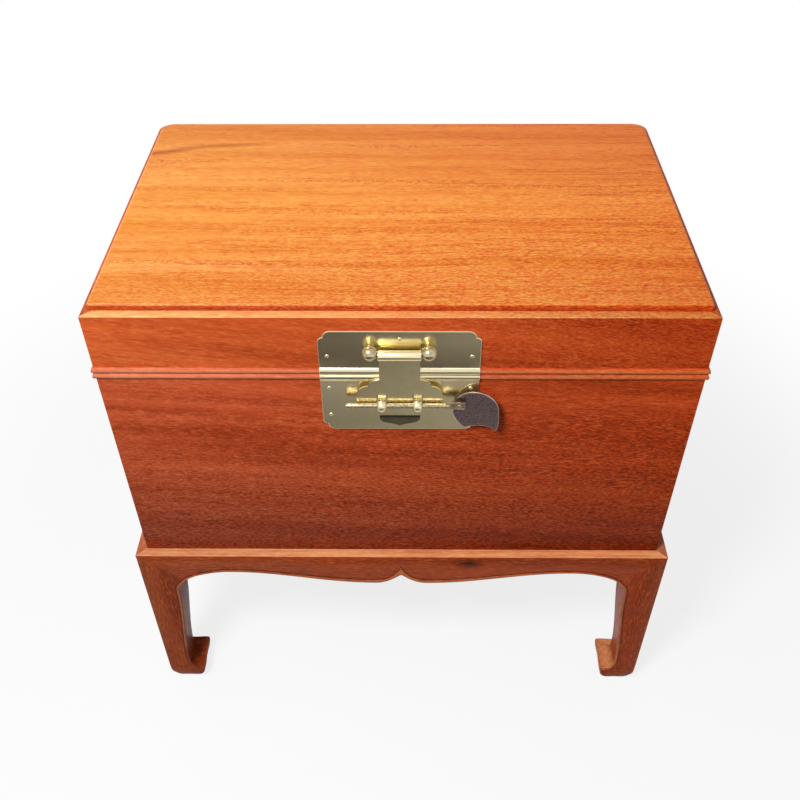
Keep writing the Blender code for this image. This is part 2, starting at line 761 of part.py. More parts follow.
def hinge_leaf(x, owner):
    """Hinge leaf: a flat plate with straps that pass over the bead to its knuckles."""
    direction = 1 if owner == "lid" else -1
    half = HINGE_WIDTH / 2
    start = BEAD_HEIGHT + PLATE_FRONT
    outline = [(-half, start), (half, start), (half, HINGE_LEAF), (-half, HINGE_LEAF)]
    points = [(x + across, FACE + GAP, JOINT + direction * up) for across, up in outline]
    leaf = prism(points, (0, PLATE, 0))
    edge = JOINT + direction * HINGE_LEAF
    for side in (-1, 1):
        leaf = cut(leaf, corner_waste(x + side * half, edge, side, direction))
    past = HINGE_WIDTH
    bore = rod(HINGE_PIN + GAP, LID_AXIS + Vector((x - past, 0, 0)), LID_AXIS + Vector((x + past, 0, 0)))
    for low, high in knuckle_spans(owner):
        section = plate_section(direction, STRAP_LENGTH, 1)
        strap = prism([(x + low, y, z) for y, z in section], (high - low, 0, 0))
        knuckle = rod(KNUCKLE, LID_AXIS + Vector((x + low, 0, 0)), LID_AXIS + Vector((x + high, 0, 0)))
        leaf = fuse(leaf, fuse(strap, knuckle))
    return cut(leaf, bore, nail_holes(hinge_nails(direction), 1))


def hinge_pin(x):
    half = HINGE_WIDTH / 2 + GAP
    profile = arc((0, -half), (HINGE_PIN_HEAD, -HINGE_PIN_CAP), CAP_ANGLE, 0, SMALL_ARC_STEPS)
    profile.append((HINGE_PIN, -half))
    profile += [(radius, -along) for radius, along in reversed(profile)]
    return turned(profile, LID_AXIS + Vector((x, 0, 0)), (1, 0, 0))


# Hasp
def hasp_half_outline():
    """Right half of the hasp from its barrel down to the cusp of its tip, as (x, drop) points."""
    outline = [(HASP_NECK, 0)]
    lobe = (HASP_STEP - HASP_NECK, HASP_STEP_DROP - HASP_NECK_END)
    outline += arc((HASP_NECK, HASP_STEP_DROP), lobe, -90, 0)
    swell = HASP_WIDE - HASP_STEP
    outline += arc((HASP_STEP, HASP_WIDE_DROP), (swell, HASP_WIDE_DROP - HASP_STEP_DROP), -90, 0)[1:]
    outline += arc((HASP_STEP, HASP_WIDE_DROP), (swell, HASP_LOWER_EDGE - HASP_WIDE_DROP), 0, 90)[1:]
    fillet = HASP_TAIL_FILLET
    outline += arc((HASP_TAIL + fillet, HASP_LOWER_EDGE + fillet), (fillet, fillet), 270, 180, SMALL_ARC_STEPS)
    outline += bezier(
        (HASP_TAIL, HASP_BEND_DROP),
        (HASP_TAIL, HASP_BEND_DROP + HASP_TIP_CHEEK),
        (HASP_TIP_PULL[0], HASP_BEND_DROP + HASP_TIP_PULL[1]),
        (0, HASP_BEND_DROP + HASP_TIP),
    )
    return outline


def hasp():
    """Hasp rolled round its axle, with a slot for each eye and a tip bent outwards for the finger."""
    half = hasp_half_outline()
    outline = half + [(-x, drop) for x, drop in reversed(half[:-1])]
    back = -FACE - HASP_BACK
    points = [(x, back, BARREL_AXIS.z - drop) for x, drop in outline]
    shape = prism(points, (0, -HASP_THICK, 0))
    bend = Vector((0, back - HASP_THICK, BARREL_AXIS.z - HASP_BEND_DROP))
    below = [vert for vert in shape.verts if vert.co.z < bend.z - GAP]
    turn = Matrix.Rotation(-math.radians(HASP_TIP_ANGLE), 3, "X")
    on_bend = [vert for vert in shape.verts if abs(vert.co.z - bend.z) < GAP]
    for y in (back, back - HASP_THICK):
        bmesh.ops.connect_verts(shape, verts=[vert for vert in on_bend if abs(vert.co.y - y) < GAP])
    bmesh.ops.rotate(shape, verts=below, cent=bend, matrix=turn)
    half_length = Vector((BARREL_LENGTH / 2, 0, 0))
    shape = fuse(shape, rod(BARREL, BARREL_AXIS - half_length, BARREL_AXIS + half_length))
    shape = cut(shape, rod(AXLE + GAP, BARREL_AXIS - 2 * half_length, BARREL_AXIS + 2 * half_length))
    for x in (-EYE_X, EYE_X):
        low = (x - SLOT_HALF, back - BARREL, BARREL_AXIS.z - SLOT_END)
        high = (x + SLOT_HALF, back + BARREL, BARREL_AXIS.z - SLOT_TOP)
        shape = cut(shape, block(low, high))
    return shape


def axle_ends():
    reach = Vector((POST_X + AXLE_IN_BALL, 0, 0))
    return BARREL_AXIS - reach, BARREL_AXIS + reach


def hasp_post(side):
    """Ball-headed post that holds one end of the hasp's axle, with a tang driven into the lid rail."""
    under = PLATE_FRONT + GAP
    flange = under + POST_FLANGE_THICK
    profile = [(POST_TANG_POINT, -POST_TANG_LENGTH), (POST_TANG, POST_TANG_TAPER - POST_TANG_LENGTH)]
    profile += [(POST_TANG, under), (POST_FLANGE, under), (POST_FLANGE, flange), (POST_NECK, flange)]
    join = math.degrees(math.asin(POST_NECK / BALL))
    ball = arc((0, 0), (BALL, BALL), join, BALL_ANGLE, 2 * ARC_STEPS)
    profile += [(y, BARREL_OUT - x) for x, y in ball]
    base = (side * POST_X, -FACE, BARREL_AXIS.z)
    start, end = axle_ends()
    reach = Vector((GAP, 0, 0))
    return cut(turned(profile, base, (0, -1, 0)), rod(AXLE + GAP, start - reach, end + reach))


def post_hole(side):
    start = Vector((side * POST_X, -FACE + POST_TANG_LENGTH + GAP, BARREL_AXIS.z))
    return rod(POST_TANG + GAP, start, start - Vector((0, 2 * POST_TANG_LENGTH, 0)))


# Eyes, lock pin and pull
def eye(side):
    """Eye with a square tang: its round end stands through the hasp's slot and takes the lock pin."""
    root = PLATE_FRONT + GAP
    half = EYE_SHANK / 2
    meet = math.degrees(math.asin(half / EYE_ROUND))
    bow = arc((PIN_OUT, 0), (EYE_ROUND, EYE_ROUND), meet - 180, 180 - meet, ROUND_SIDES)
    outline = [(root, -half)] + bow + [(root, half)]
    x = side * EYE_X - EYE_WIDTH / 2
    shape = prism([(x, -FACE - out, PIN_AXIS.z + up) for out, up in outline], (EYE_WIDTH, 0, 0))
    shape = fuse(shape, eye_tang(side, 0, root + EYE_TANG / 2))
    reach = Vector((EYE_X + EYE_WIDTH, 0, 0))
    return cut(shape, rod(EYE_HOLE, PIN_AXIS - reach, PIN_AXIS + reach))


def eye_tang(side, ease, out):
    half = EYE_TANG / 2 + ease
    low = (side * EYE_X - half, -FACE - out, PIN_AXIS.z - half)
    return block(low, (side * EYE_X + half, -FACE + EYE_TANG_LENGTH + ease, PIN_AXIS.z + half))


def lock_pin():
    """Rod through both eyes, with a flared left end and a flat tab that the pull is riveted to."""
    left = -PIN_LEFT
    profile = arc((0, left + PIN_CAP), (PIN_FLARE, -PIN_CAP), CAP_ANGLE, 0, SMALL_ARC_STEPS)
    profile += [(PIN, left + PIN_FLARE_LENGTH), (PIN, PIN_ROD_END - GAP), (PIN_SHOULDER, PIN_ROD_END)]
    shape = turned(profile, PIN_AXIS, (1, 0, 0))
    low = (PIN_ROD_END - TAB_ROOT, PIN_AXIS.y - TAB_THICK / 2, PIN_AXIS.z - TAB_HALF)
    high = (TAB_END, PIN_AXIS.y + TAB_THICK / 2, PIN_AXIS.z + TAB_HALF)
    return cut(fuse(shape, block(low, high)), rivet_hole())


def leaf_back():
    return PIN_AXIS.y + TAB_THICK / 2 + GAP + LEAF_THICK


def rivet_hole():
    start = Vector((RIVET_X, leaf_back() + TAB_THICK, PIN_AXIS.z))
    past = Vector((0, 4 * (TAB_THICK + LEAF_THICK), 0))
    return rod(RIVET + GAP, start, start - past)


def pull_leaf():
    """Flat pull: a disc drawn out to one low tip, with a shallow bite along its foot."""
    tip = Vector(LEAF_TIP)
    rim = arc((0, 0), (LEAF_ROUND, LEAF_ROUND), LEAF_HEEL_ANGLE, LEAF_CHEEK_ANGLE, LEAF_STEPS)
    cheek, heel = Vector(rim[-1]), Vector(rim[0])
    swell = Vector((LEAF_CHEEK_SWELL, (cheek.y + tip.y) / 2))
    bite = Vector(((heel.x + tip.x) / 2, -LEAF_BITE))
    outline = rim + bezier(cheek, (cheek + swell) / 2, swell, tip)[1:] + bezier(tip, bite, bite, heel)[1:-1]
    y = leaf_back()
    points = [(LEAF_X + across, y, PIN_AXIS.z - LEAF_DROP + up) for across, up in outline]
    return cut(prism(points, (0, -LEAF_THICK, 0)), rivet_hole())


def pull_rivet():
    grip = LEAF_THICK + TAB_THICK + GAP
    under = -grip / 2 - GAP
    head = arc((0, under), (RIVET_HEAD, -RIVET_CAP), CAP_ANGLE, 0, SMALL_ARC_STEPS) + [(RIVET, under)]
    profile = head + [(radius, -along) for radius, along in reversed(head)]
    middle = (RIVET_X, leaf_back() - grip / 2, PIN_AXIS.z)
    return turned(profile, middle, (0, -1, 0))


# Scene
for old in list(bpy.data.objects):
    bpy.data.objects.remove(old)

stand_body = carrier("stand_body", (0, 0, 0))
box_body = carrier("box_body", (0, 0, BOX_FLOOR), stand_body)
lid_body = carrier("lid_body", LID_AXIS, box_body)
hasp_body = carrier("hasp_body", BARREL_AXIS, lid_body)
pin_body = carrier("pin_body", PIN_AXIS, box_body)

for end_name, end_y in (("front", -1), ("back", 1)):
    for hand_name, hand_x in HANDS:
        piece(f"stand_leg_{end_name}_{hand_name}", leg(hand_x, end_y), STAND_WOOD, stand_body)
for side_name in SIDES:
    piece(f"stand_apron_{side_name}", apron(side_name), STAND_WOOD, stand_body)
for hand_name, hand_x in HANDS:
    piece(f"stand_bearer_{hand_name}", bearer(hand_x * BEARER_X), HIDDEN_WOOD, stand_body)

for side_name in SIDES:
    wall = jointed_board(side_name, wall_section(), BOX_FLOOR + BOTTOM_THICK, JOINT)
    if side_name == "front":
        wall = cut(wall, nail_holes(lower_lock_nails(), -1))
        wall = cut(wall, eye_tang(-1, GAP, WALL), eye_tang(1, GAP, WALL))
    if side_name == "back":
        wall = cut(wall, nail_holes(hinge_nails(-1), 1))
    piece(f"box_{side_name}_wall", wall, BOX_WOOD, box_body)
piece("box_bottom_board", bottom_board(), HIDDEN_WOOD, box_body)

for side_name in SIDES:
    rail = jointed_board(side_name, rail_section(), JOINT, FIELD_FLOOR)
    if side_name == "front":
        rail = cut(rail, nail_holes(upper_lock_nails(), -1), post_hole(-1), post_hole(1))
    if side_name == "back":
        rail = cut(rail, nail_holes(hinge_nails(1), 1))
    for corner_x, corner_y in board_corners(side_name):
        if corner_y > 0:
            rail = cut(rail, back_corner_waste(corner_x))
    piece(f"lid_{side_name}_rail", rail, BOX_WOOD, lid_body)
piece("lid_top_panel", lid_panel(), TOP_WOOD, lid_body)
for hand_name, hand_x in HANDS:
    piece(f"lid_batten_{hand_name}", batten(hand_x * BATTEN_X), HIDDEN_WOOD, lid_body)

upper_plate = cut(lock_plate(1, LOCK_UP, upper_lock_nails()), post_hole(-1), post_hole(1))
piece("upper_lock_plate", upper_plate, BRASS, lid_body)
drive_nails("upper_lock_nail", upper_lock_nails(), -1, lid_body)
lower_plate = lock_plate(-1, LOCK_DOWN, lower_lock_nails())
lower_plate = cut(lower_plate, eye_tang(-1, GAP, WALL), eye_tang(1, GAP, WALL))
piece("lower_lock_plate", lower_plate, BRASS, box_body)
drive_nails("lower_lock_nail", lower_lock_nails(), -1, box_body)

for hand_name, hand_x in HANDS:
    piece(f"hinge_lid_leaf_{hand_name}", hinge_leaf(hand_x * HINGE_X, "lid"), BRASS, lid_body)
    piece(f"hinge_box_leaf_{hand_name}", hinge_leaf(hand_x * HINGE_X, "box"), BRASS, box_body)
    piece(f"hinge_pin_{hand_name}", hinge_pin(hand_x * HINGE_X), OLD_BRASS, box_body)
drive_nails("hinge_lid_nail", hinge_nails(1), 1, lid_body)
drive_nails("hinge_box_nail", hinge_nails(-1), 1, box_body)

for hand_name, hand_x in HANDS:
    piece(f"hasp_post_{hand_name}", hasp_post(hand_x), BRASS, lid_body)
    piece(f"lock_eye_{hand_name}", eye(hand_x), BRASS, box_body)
piece("hasp_axle", rod(AXLE, *axle_ends()), OLD_BRASS, lid_body)
piece("hasp", hasp(), BRASS, hasp_body)
piece("lock_pin", lock_pin(), OLD_BRASS, pin_body)
piece("pull_leaf", pull_leaf(), DARK_BRONZE, pin_body)
piece("pull_rivet", pull_rivet(), OLD_BRASS, pin_body)
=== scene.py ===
import json
import math

import bmesh
import bpy
from mathutils import Matrix, Vector
from mathutils.geometry import interpolate_bezier

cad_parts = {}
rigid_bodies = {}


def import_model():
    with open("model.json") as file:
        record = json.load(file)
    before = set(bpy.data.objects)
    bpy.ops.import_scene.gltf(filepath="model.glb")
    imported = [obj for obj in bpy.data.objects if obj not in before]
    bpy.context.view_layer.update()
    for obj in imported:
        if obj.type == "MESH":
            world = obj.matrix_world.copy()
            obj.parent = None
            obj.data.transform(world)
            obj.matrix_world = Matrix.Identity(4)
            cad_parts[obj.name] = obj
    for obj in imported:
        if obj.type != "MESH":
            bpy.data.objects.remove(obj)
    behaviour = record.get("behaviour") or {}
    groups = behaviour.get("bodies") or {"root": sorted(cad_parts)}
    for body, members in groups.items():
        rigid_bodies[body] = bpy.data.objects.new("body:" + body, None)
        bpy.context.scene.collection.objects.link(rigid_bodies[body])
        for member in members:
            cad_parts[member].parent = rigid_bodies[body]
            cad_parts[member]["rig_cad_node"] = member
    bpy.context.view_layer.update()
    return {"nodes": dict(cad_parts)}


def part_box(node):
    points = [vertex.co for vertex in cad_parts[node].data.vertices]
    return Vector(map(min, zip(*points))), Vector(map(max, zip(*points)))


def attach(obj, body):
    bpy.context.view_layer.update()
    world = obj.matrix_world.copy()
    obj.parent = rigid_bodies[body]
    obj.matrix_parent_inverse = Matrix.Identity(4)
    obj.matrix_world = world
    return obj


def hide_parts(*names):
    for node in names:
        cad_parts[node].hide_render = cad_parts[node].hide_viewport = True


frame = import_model()

# Four hoof-footed legs, each sawn from one square of rosewood to one sweeping profile on both outer faces.
# The ground of those faces is shaved back towards a bead that stands proud along their inner edges.
# Each head is stepped back to sit behind the mitred laps of the two aprons.
STAND_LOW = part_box("stand_leg_front_left")[0]
STAND_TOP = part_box("stand_apron_front")[1].z
BOX_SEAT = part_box("stand_bearer_left")[1].z
HOOF_SOLE = (0.030, 0.0)
HOOF_PULLS = ((0.0365, 0.0002), (0.0474, 0.0088))
HOOF_STEPS = 8
HOOF_TOE = (0.047, 0.0262)
ANKLE_PULLS = ((0.0395, 0.0212), (0.0304, 0.0256))
ANKLE_STEPS = 14
LEG_ANKLE = (0.0300, 0.043)
SHANK_PULLS = ((0.0300, 0.091), (0.0405, 0.147))
SHANK_STEPS = 18
LEG_SHOULDER = (0.0405, 0.192)
HEAD_PULLS = ((0.0405, 0.2038), (0.044, 0.2055))
HEAD_STEPS = 12
LEG_HEAD = 0.052
LEG_MITRE = 0.0485
MITRE_FLOW = Vector((0.008, 0.010))
HEAD_DROP = 0.0008
SHELF_DROP = 0.0030
LAP_DEPTH = 0.0118
HEEL_ROUND = 0.0055
HEEL_HEIGHT = 0.016
HEEL_CORNER = 0.012
LEG_ARRIS = 0.0014
ROUND_SHARE = 0.3
EDGE_BEAD = 0.0033
EDGE_BEAD_PROUD = 0.0011
BEAD_STEPS = 6
TOE_BEAD = 0.0026
QUIRK = 0.0024
TOE_TURN = 0.0016
TOE_HOLLOW = 0.0008
TOE_HOLLOWS = ((0.10, 0.1), (0.22, 0.0), (0.40, 0.65), (0.55, 1.0), (0.72, 0.7), (0.88, 0.1))
# Marks round a leg: the inner bead and the corners are pale with wear, and the bead also carries a painted
# highlight. The quirk is darkened as painted shade and gathered polish, and the hoof tops are pale as wear
# and as a painted highlight.
EDGE_WEAR_AND_LIGHT = [0.1, 0, 0, -0.8, 0.25, 0.45, 0.55, 0.45, 0.3]
CORNER_WEAR = 0.2
HOOF_TOP_WEAR_AND_LIGHT = 0.85
HOOF_TOP_RING = 13
HOOF_TOP_RINGS = 9
# Below this height the left legs' pale marks become painted shade, as their hoof tops face away from the
# lamp.
HOOF_SHADE = 0.07
LEFT_HOOF_SHADE = -0.4
LEG_WOOD = {
    "dark": (0.330, 0.044, 0.009),
    "mid": (0.460, 0.068, 0.014),
    "light": (0.560, 0.094, 0.021),
    "streak": (0.170, 0.022, 0.005),
    "fleck": (0.660, 0.165, 0.055),
    "wear_and_painted_light": (0.800, 0.330, 0.135),
}
# The dark tone for painted shade and gathered polish in the quirks, and for painted shade on the left hooves.
DARK_POLISH_AND_SHADE = (0.070, 0.012, 0.004)
ACROSS = (1, 0, 0)


def begin():
    """Nothing is selected, so that the next operator acts on the new piece alone."""
    bpy.ops.object.select_all(action="DESELECT")


def take(piece):
    """Makes a piece the one that is selected and active."""
    begin()
    piece.select_set(True)
    bpy.context.view_layer.objects.active = piece


def open_up(piece):
    """Takes a piece into edit mode with all of it selected."""
    take(piece)
    bpy.ops.object.mode_set(mode="EDIT")
    bpy.ops.mesh.select_all(action="SELECT")


def shut():
    """Leaves edit mode."""
    bpy.ops.object.mode_set(mode="OBJECT")


def close_up(piece):
    """Welds a shape where its points meet, fills its open ends and turns its faces outwards."""
    open_up(piece)
    bpy.ops.mesh.remove_doubles(threshold=2e-6)
    bpy.ops.mesh.fill_holes(sides=0)
    bpy.ops.mesh.select_all(action="SELECT")
    bpy.ops.mesh.normals_make_consistent(inside=False)
    shut()


def skin(name, rings, wear_and_light):
    """A closed form through rings of points: a grid drawn over them, with each point's mark of wear and
    painted light.
    """
    begin()
    across, length = len(rings[0]), len(rings) - 1
    bpy.ops.mesh.primitive_grid_add(x_subdivisions=across, y_subdivisions=length)
    piece = bpy.context.object
    piece.name = name
    wear_and_painted_light = piece.data.attributes.new("wear_and_painted_light", "FLOAT", "POINT")
    for row, ring in enumerate(rings):
        for column in range(across + 1):
            index = row * (across + 1) + column
            piece.data.vertices[index].co = ring[column % across]
            wear_and_painted_light.data[index].value = wear_and_light[row][column % across]
    close_up(piece)
    return piece


def sweep(*spans):
    """Points along joined curve spans, each a start, two pulls, an end and a number of steps."""
    points = []
    for *knots, steps in spans:
        run = interpolate_bezier(*[Vector(knot).to_3d() for knot in knots], steps + 1)
        points += [point.to_2d() for point in (run[1:] if points else run)]
    return points


def over_bead(start, quirk, edge, proud, sunk):
    """The points of a face from its start down into the quirk and over the half-round bead at its edge."""
    start = Vector(start)
    foot = Vector((quirk.x, sunk(quirk.y) + proud, quirk.y))
    points = [(start + foot) / 2, foot + (start - foot).normalized() * QUIRK, foot]
    for step in range(1, BEAD_STEPS + 1):
        turn = math.pi * step / BEAD_STEPS
        place = quirk.lerp(edge, (1 - math.cos(turn)) / 2)
        points.append((place.x, sunk(place.y) + proud * (1 - math.sin(turn)), place.y))
    return [tuple(point) for point in points]


def heel(height):
    """How far a leg's outer faces curve under towards the sole."""
    share = max(0, 1 - height / HEEL_HEIGHT)
    return HEEL_ROUND * (1 - math.sqrt(1 - share * share))


def leg_ring(edge, quirk, corner, proud, toe):
    """One ring round a leg as (across, inward, height): half of it, then that half turned about the diagonal.

    At the toe the front corner is turned in and the inner face is hollowed.
    """
    near = heel(corner)
    round_off = LEG_ARRIS + HEEL_CORNER * max(0, 1 - corner / HOOF_TOE[1]) ** 2
    half = [(near + round_off, near, corner)]
    half += over_bead(half[0], quirk, edge, proud, heel)
    across, inward, height = half[-1]
    half[-1] = (across - TOE_TURN * toe, inward, height)
    back = edge.x - LEG_ARRIS
    for share, hollow in TOE_HOLLOWS:
        half.append((edge.x - TOE_HOLLOW * toe * hollow, inward + (back - inward) * share, edge.y))
    half.append((edge.x - TOE_TURN * ROUND_SHARE * toe, back - TOE_TURN * 0.5 * toe, edge.y))
    outer = near + round_off * ROUND_SHARE
    inner = edge.x - LEG_ARRIS * ROUND_SHARE - TOE_TURN * 0.5 * toe
    turned_half = [(inward, across, height) for across, inward, height in reversed(half)]
    return [(outer, outer, corner)] + half + [(inner, inner, edge.y)] + turned_half


leg_edge = sweep(
    (HOOF_SOLE, *HOOF_PULLS, HOOF_TOE, HOOF_STEPS),
    (HOOF_TOE, *ANKLE_PULLS, LEG_ANKLE, ANKLE_STEPS),
    (LEG_ANKLE, *SHANK_PULLS, LEG_SHOULDER, SHANK_STEPS),
    (LEG_SHOULDER, *HEAD_PULLS, (LEG_HEAD, STAND_TOP - LEG_MITRE), HEAD_STEPS),
)
ankle_ring = HOOF_STEPS + ANKLE_STEPS
shoulder_ring = ankle_ring + SHANK_STEPS
leg_rings = []
for i, edge in enumerate(leg_edge):
    flow = leg_edge[min(i + 1, len(leg_edge) - 1)] - leg_edge[max(i - 1, 0)]
    if i == len(leg_edge) - 1:
        flow = MITRE_FLOW
    grown = min(1, i / HOOF_STEPS)
    width = TOE_BEAD + (EDGE_BEAD - TOE_BEAD) * grown
    quirk = edge + Vector((-flow.y, flow.x)).normalized() * width
    corner = edge.y
    if HOOF_STEPS < i < ankle_ring:
        corner = HOOF_TOE[1] + (LEG_ANKLE[1] - HOOF_TOE[1]) * (i - HOOF_STEPS) / ANKLE_STEPS
    if i > shoulder_ring:
        rise = STAND_TOP - HEAD_DROP - LEG_SHOULDER[1]
        corner = LEG_SHOULDER[1] + rise * (i - shoulder_ring) / HEAD_STEPS
    toe = max(0, 1 - ((i - HOOF_STEPS) / HOOF_STEPS) ** 2)
    leg_rings.append(leg_ring(edge, quirk, corner, EDGE_BEAD_PROUD * grown, toe))
mitre_quirk = quirk
shelf = STAND_TOP - SHELF_DROP
leg_rings.append([(max(a, LAP_DEPTH), max(b, LAP_DEPTH), min(z, shelf)) for a, b, z in leg_rings[-1]])
leg_rings.append([(a, b, BOX_SEAT) for a, b, z in leg_rings[-1]])
leg_wear_and_light = []
for i in range(len(leg_rings)):
    hoof_top = HOOF_TOP_WEAR_AND_LIGHT * max(0, 1 - ((i - HOOF_TOP_RING) / HOOF_TOP_RINGS) ** 4)
    half_worn = EDGE_WEAR_AND_LIGHT + [max(CORNER_WEAR, hoof_top)] + [hoof_top] * (len(TOE_HOLLOWS) + 1)
    leg_wear_and_light.append([CORNER_WEAR] + half_worn + [hoof_top] + half_worn[::-1])
leg_places = [[(STAND_LOW.x + a, STAND_LOW.y + b, z) for a, b, z in ring] for ring in leg_rings]


def new_paint(name):
    """A new material, with its node tree and its shader."""
    material = bpy.data.materials.new(name)
    material.use_nodes = True
    return material, material.node_tree, material.node_tree.nodes["Principled BSDF"]


def feed(tree, socket, value):
    """Links a value into a node's socket, or sets it there when it is constant."""
    if isinstance(value, bpy.types.NodeSocket):
        tree.links.new(value, socket)
    else:
        socket.default_value = (*value, 1) if socket.type == "RGBA" else value


def node(tree, kind, *values, operation=None, **named):
    """A new shader node, with some of its inputs fed in order and others by name."""
    made = tree.nodes.new("ShaderNode" + kind)
    if operation:
        made.operation = operation
    for key, value in [*enumerate(values), *named.items()]:
        feed(tree, made.inputs[key], value)
    return made


def grain(tree, place, axis, along, across, detail):
    """Noise drawn out along one axis, with so many waves to a metre along and across the grain."""
    stretch = node(tree, "Mapping", place, Scale=[along if i == axis else across for i in range(3)])
    noise = node(tree, "TexNoise", stretch.outputs["Vector"], Scale=1, Detail=detail, Roughness=0.55)
    return noise.outputs["Fac"]


def ramp(tree, value, *stops):
    """A colour or a grey read off by a value, from (position, colour) stops."""
    made = node(tree, "ValToRGB", value)
    elements = made.color_ramp.elements
    elements[0].position, elements[1].position = stops[0][0], stops[-1][0]
    for position, _ in stops[1:-1]:
        elements.new(position)
    for element, (_, colour) in zip(elements, stops):
        element.color = (*colour, 1) if isinstance(colour, tuple) else (colour, colour, colour, 1)
    return made.outputs["Color"]


def mix(tree, share, first, second, kind="MIX"):
    """Two colours mixed by a share. Each is a colour or a link."""
    made = node(tree, "Mix")
    made.data_type = "RGBA"
    made.blend_type = kind
    for socket, value in zip((0, 6, 7), (share, first, second)):
        feed(tree, made.inputs[socket], value)
    return made.outputs[2]


def graded(tree, place, direction, start, end, low, high):
    """A strength that grows from low to high between two places along a direction."""
    distance = node(tree, "VectorMath", place, direction, operation="DOT_PRODUCT").outputs["Value"]
    return node(tree, "MapRange", distance, start, end, low, high).outputs["Result"]


def coat(tree, shader, colour, rough, height, strength, depth):
    """Gives a shader its colour, its roughness and a fine relief."""
    relief = node(tree, "Bump", Strength=strength, Distance=depth, Height=height)
    for name, value in (("Base Color", colour), ("Roughness", rough), ("Normal", relief.outputs["Normal"])):
        tree.links.new(value, shader.inputs[name])


def rosewood(
    name,
    axis,
    wood,
    figure=(0.4, 0.5, 0.3, 0.25),
    rough=(0.30, 0.42),
    shine=0.1,
    tilt=(0, 0, 0),
    knots=(),
    shifts=(),
    coarse=None,
    plain=None,
):
    """Oiled and polished rosewood with its grain along one axis: bands and ripple, then streaks and pores.

    The figure is how strong its dark lines, pores, curl and stipple are, the last below nothing where pores
    are dark. A knot is a centre, three radii, a turn and a tone. A shift is a direction, two places along it
    and the tint that the wood takes on from the first to the second; most shifts here paint light and shade
    across a piece. Coarse and plain say where open pores grow and where the figure fades, each as a
    direction, two places along it and the strength at each. A point's mark turns the wood to its pale tone
    for wear and for painted highlights, and below nothing to a dark tone for painted shade and polish
    gathered in quirks.
    """
    material, tree, shader = new_paint(name)
    laid = node(tree, "TexCoord").outputs["Object"]
    turned_grain = node(tree, "Mapping", laid, Rotation=tilt).outputs["Vector"]
    drift = node(tree, "TexNoise", turned_grain, Scale=5, Detail=2).outputs["Color"]
    wander = node(tree, "VectorMath", drift, (0.012, 0.012, 0.012), turned_grain, operation="MULTIPLY_ADD")
    place = wander.outputs["Vector"]
    bands = grain(tree, place, axis, 1.6, 34, 5)
    rows = grain(tree, place, axis, 2.6, 70, 3)
    ripple = grain(tree, place, axis, 60, 190, 4)
    threads = grain(tree, place, axis, 8, 420, 4)
    pores = grain(tree, place, axis, 110, 560, 3)
    curls = grain(tree, place, axis, 240, 400, 2)
    lines, dashes, curl, stipple = figure
    crowd = ramp(tree, rows, (0.40, 0.35), (0.58, 1.0))
    if plain:
        crowd = mix(tree, 1.0, crowd, graded(tree, laid, *plain), "MULTIPLY")
    tight = ramp(tree, rows, (0.54, 0.0), (0.64, 1.0))
    colour = ramp(tree, bands, (0.30, wood["dark"]), (0.5, wood["mid"]), (0.70, wood["light"]))
    for shape, low, high, strength, where, tone in (
        (threads, 0.51, 0.66, lines, crowd, "streak"),
        (curls, 0.47, 0.58, curl, tight, "streak"),
        (pores, 0.54, 0.66, dashes, crowd, "fleck"),
    ):
        share = mix(tree, 1.0, ramp(tree, shape, (low, 0.0), (high, strength)), where, "MULTIPLY")
        colour = mix(tree, share, colour, wood[tone])
    for centre, radii, turn, tone in knots:
        spot = node(tree, "Mapping", place, Location=centre, Rotation=(0, 0, turn), Scale=radii)
        spot.vector_type = "TEXTURE"
        reach = node(tree, "VectorMath", spot.outputs["Vector"], operation="LENGTH").outputs["Value"]
        share = ramp(tree, reach, (0.15, 1.0), (1.0, 0.0))
        share = mix(tree, 1.0, share, ramp(tree, ripple, (0.3, 0.5), (0.6, 1.0)), "MULTIPLY")
        colour = mix(tree, share, colour, tone)
    # Positive marks turn the wood to its pale tone, for wear on edges and for painted highlights.
    edge = node(tree, "Attribute")
    edge.attribute_name = "wear_and_painted_light"
    wear_and_light = mix(tree, 1.0, edge.outputs["Color"], ramp(tree, threads, (0.3, 0.5), (0.6, 1.0)), "MULTIPLY")
    colour = mix(tree, wear_and_light, colour, wood["wear_and_painted_light"])
    # Negative marks turn it to a dark tone, as painted shade and as polish gathered in the quirks.
    shade_and_polish = node(tree, "Math", edge.outputs["Fac"], -1, operation="MULTIPLY")
    shade_and_polish.use_clamp = True
    colour = mix(tree, shade_and_polish.outputs["Value"], colour, DARK_POLISH_AND_SHADE)
    colour = mix(tree, 0.35, colour, ramp(tree, ripple, (0.3, 0.30), (0.7, 0.70)), "OVERLAY")
    swing = math.copysign(0.4, stipple)
    speckle = ramp(tree, pores, (0.32, 0.5 - swing), (0.68, 0.5 + swing))
    colour = mix(tree, abs(stipple), colour, speckle, "OVERLAY")
    if coarse:
        dots = ramp(tree, grain(tree, place, axis, 230, 900, 2), (0.36, 0.16), (0.66, 0.98))
        colour = mix(tree, graded(tree, laid, *coarse), colour, dots, "OVERLAY")
    for direction, start, end, tint in shifts:
        share = graded(tree, laid, direction, start, end, 0, 1)
        colour = mix(tree, 1.0, colour, ramp(tree, share, (0.0, 1.0), (1.0, tint)), "MULTIPLY")
    shader.inputs["Specular IOR Level"].default_value = shine
    rough = ramp(tree, ripple, (0.3, rough[0]), (0.7, rough[1]))
    coat(tree, shader, colour, rough, mix(tree, 0.6, threads, pores), 0.2, 0.0003)
    return material


def smooth(piece, angle=32):
    """Smooth shading, with crisp edges where faces meet at more than an angle in degrees."""
    take(piece)
    bpy.ops.object.shade_smooth_by_angle(angle=math.radians(angle))


def copied(piece, name):
    """A copy of a piece, with a mesh of its own."""
    take(piece)
    bpy.ops.object.duplicate()
    copy = bpy.context.object
    copy.name = name
    return copy


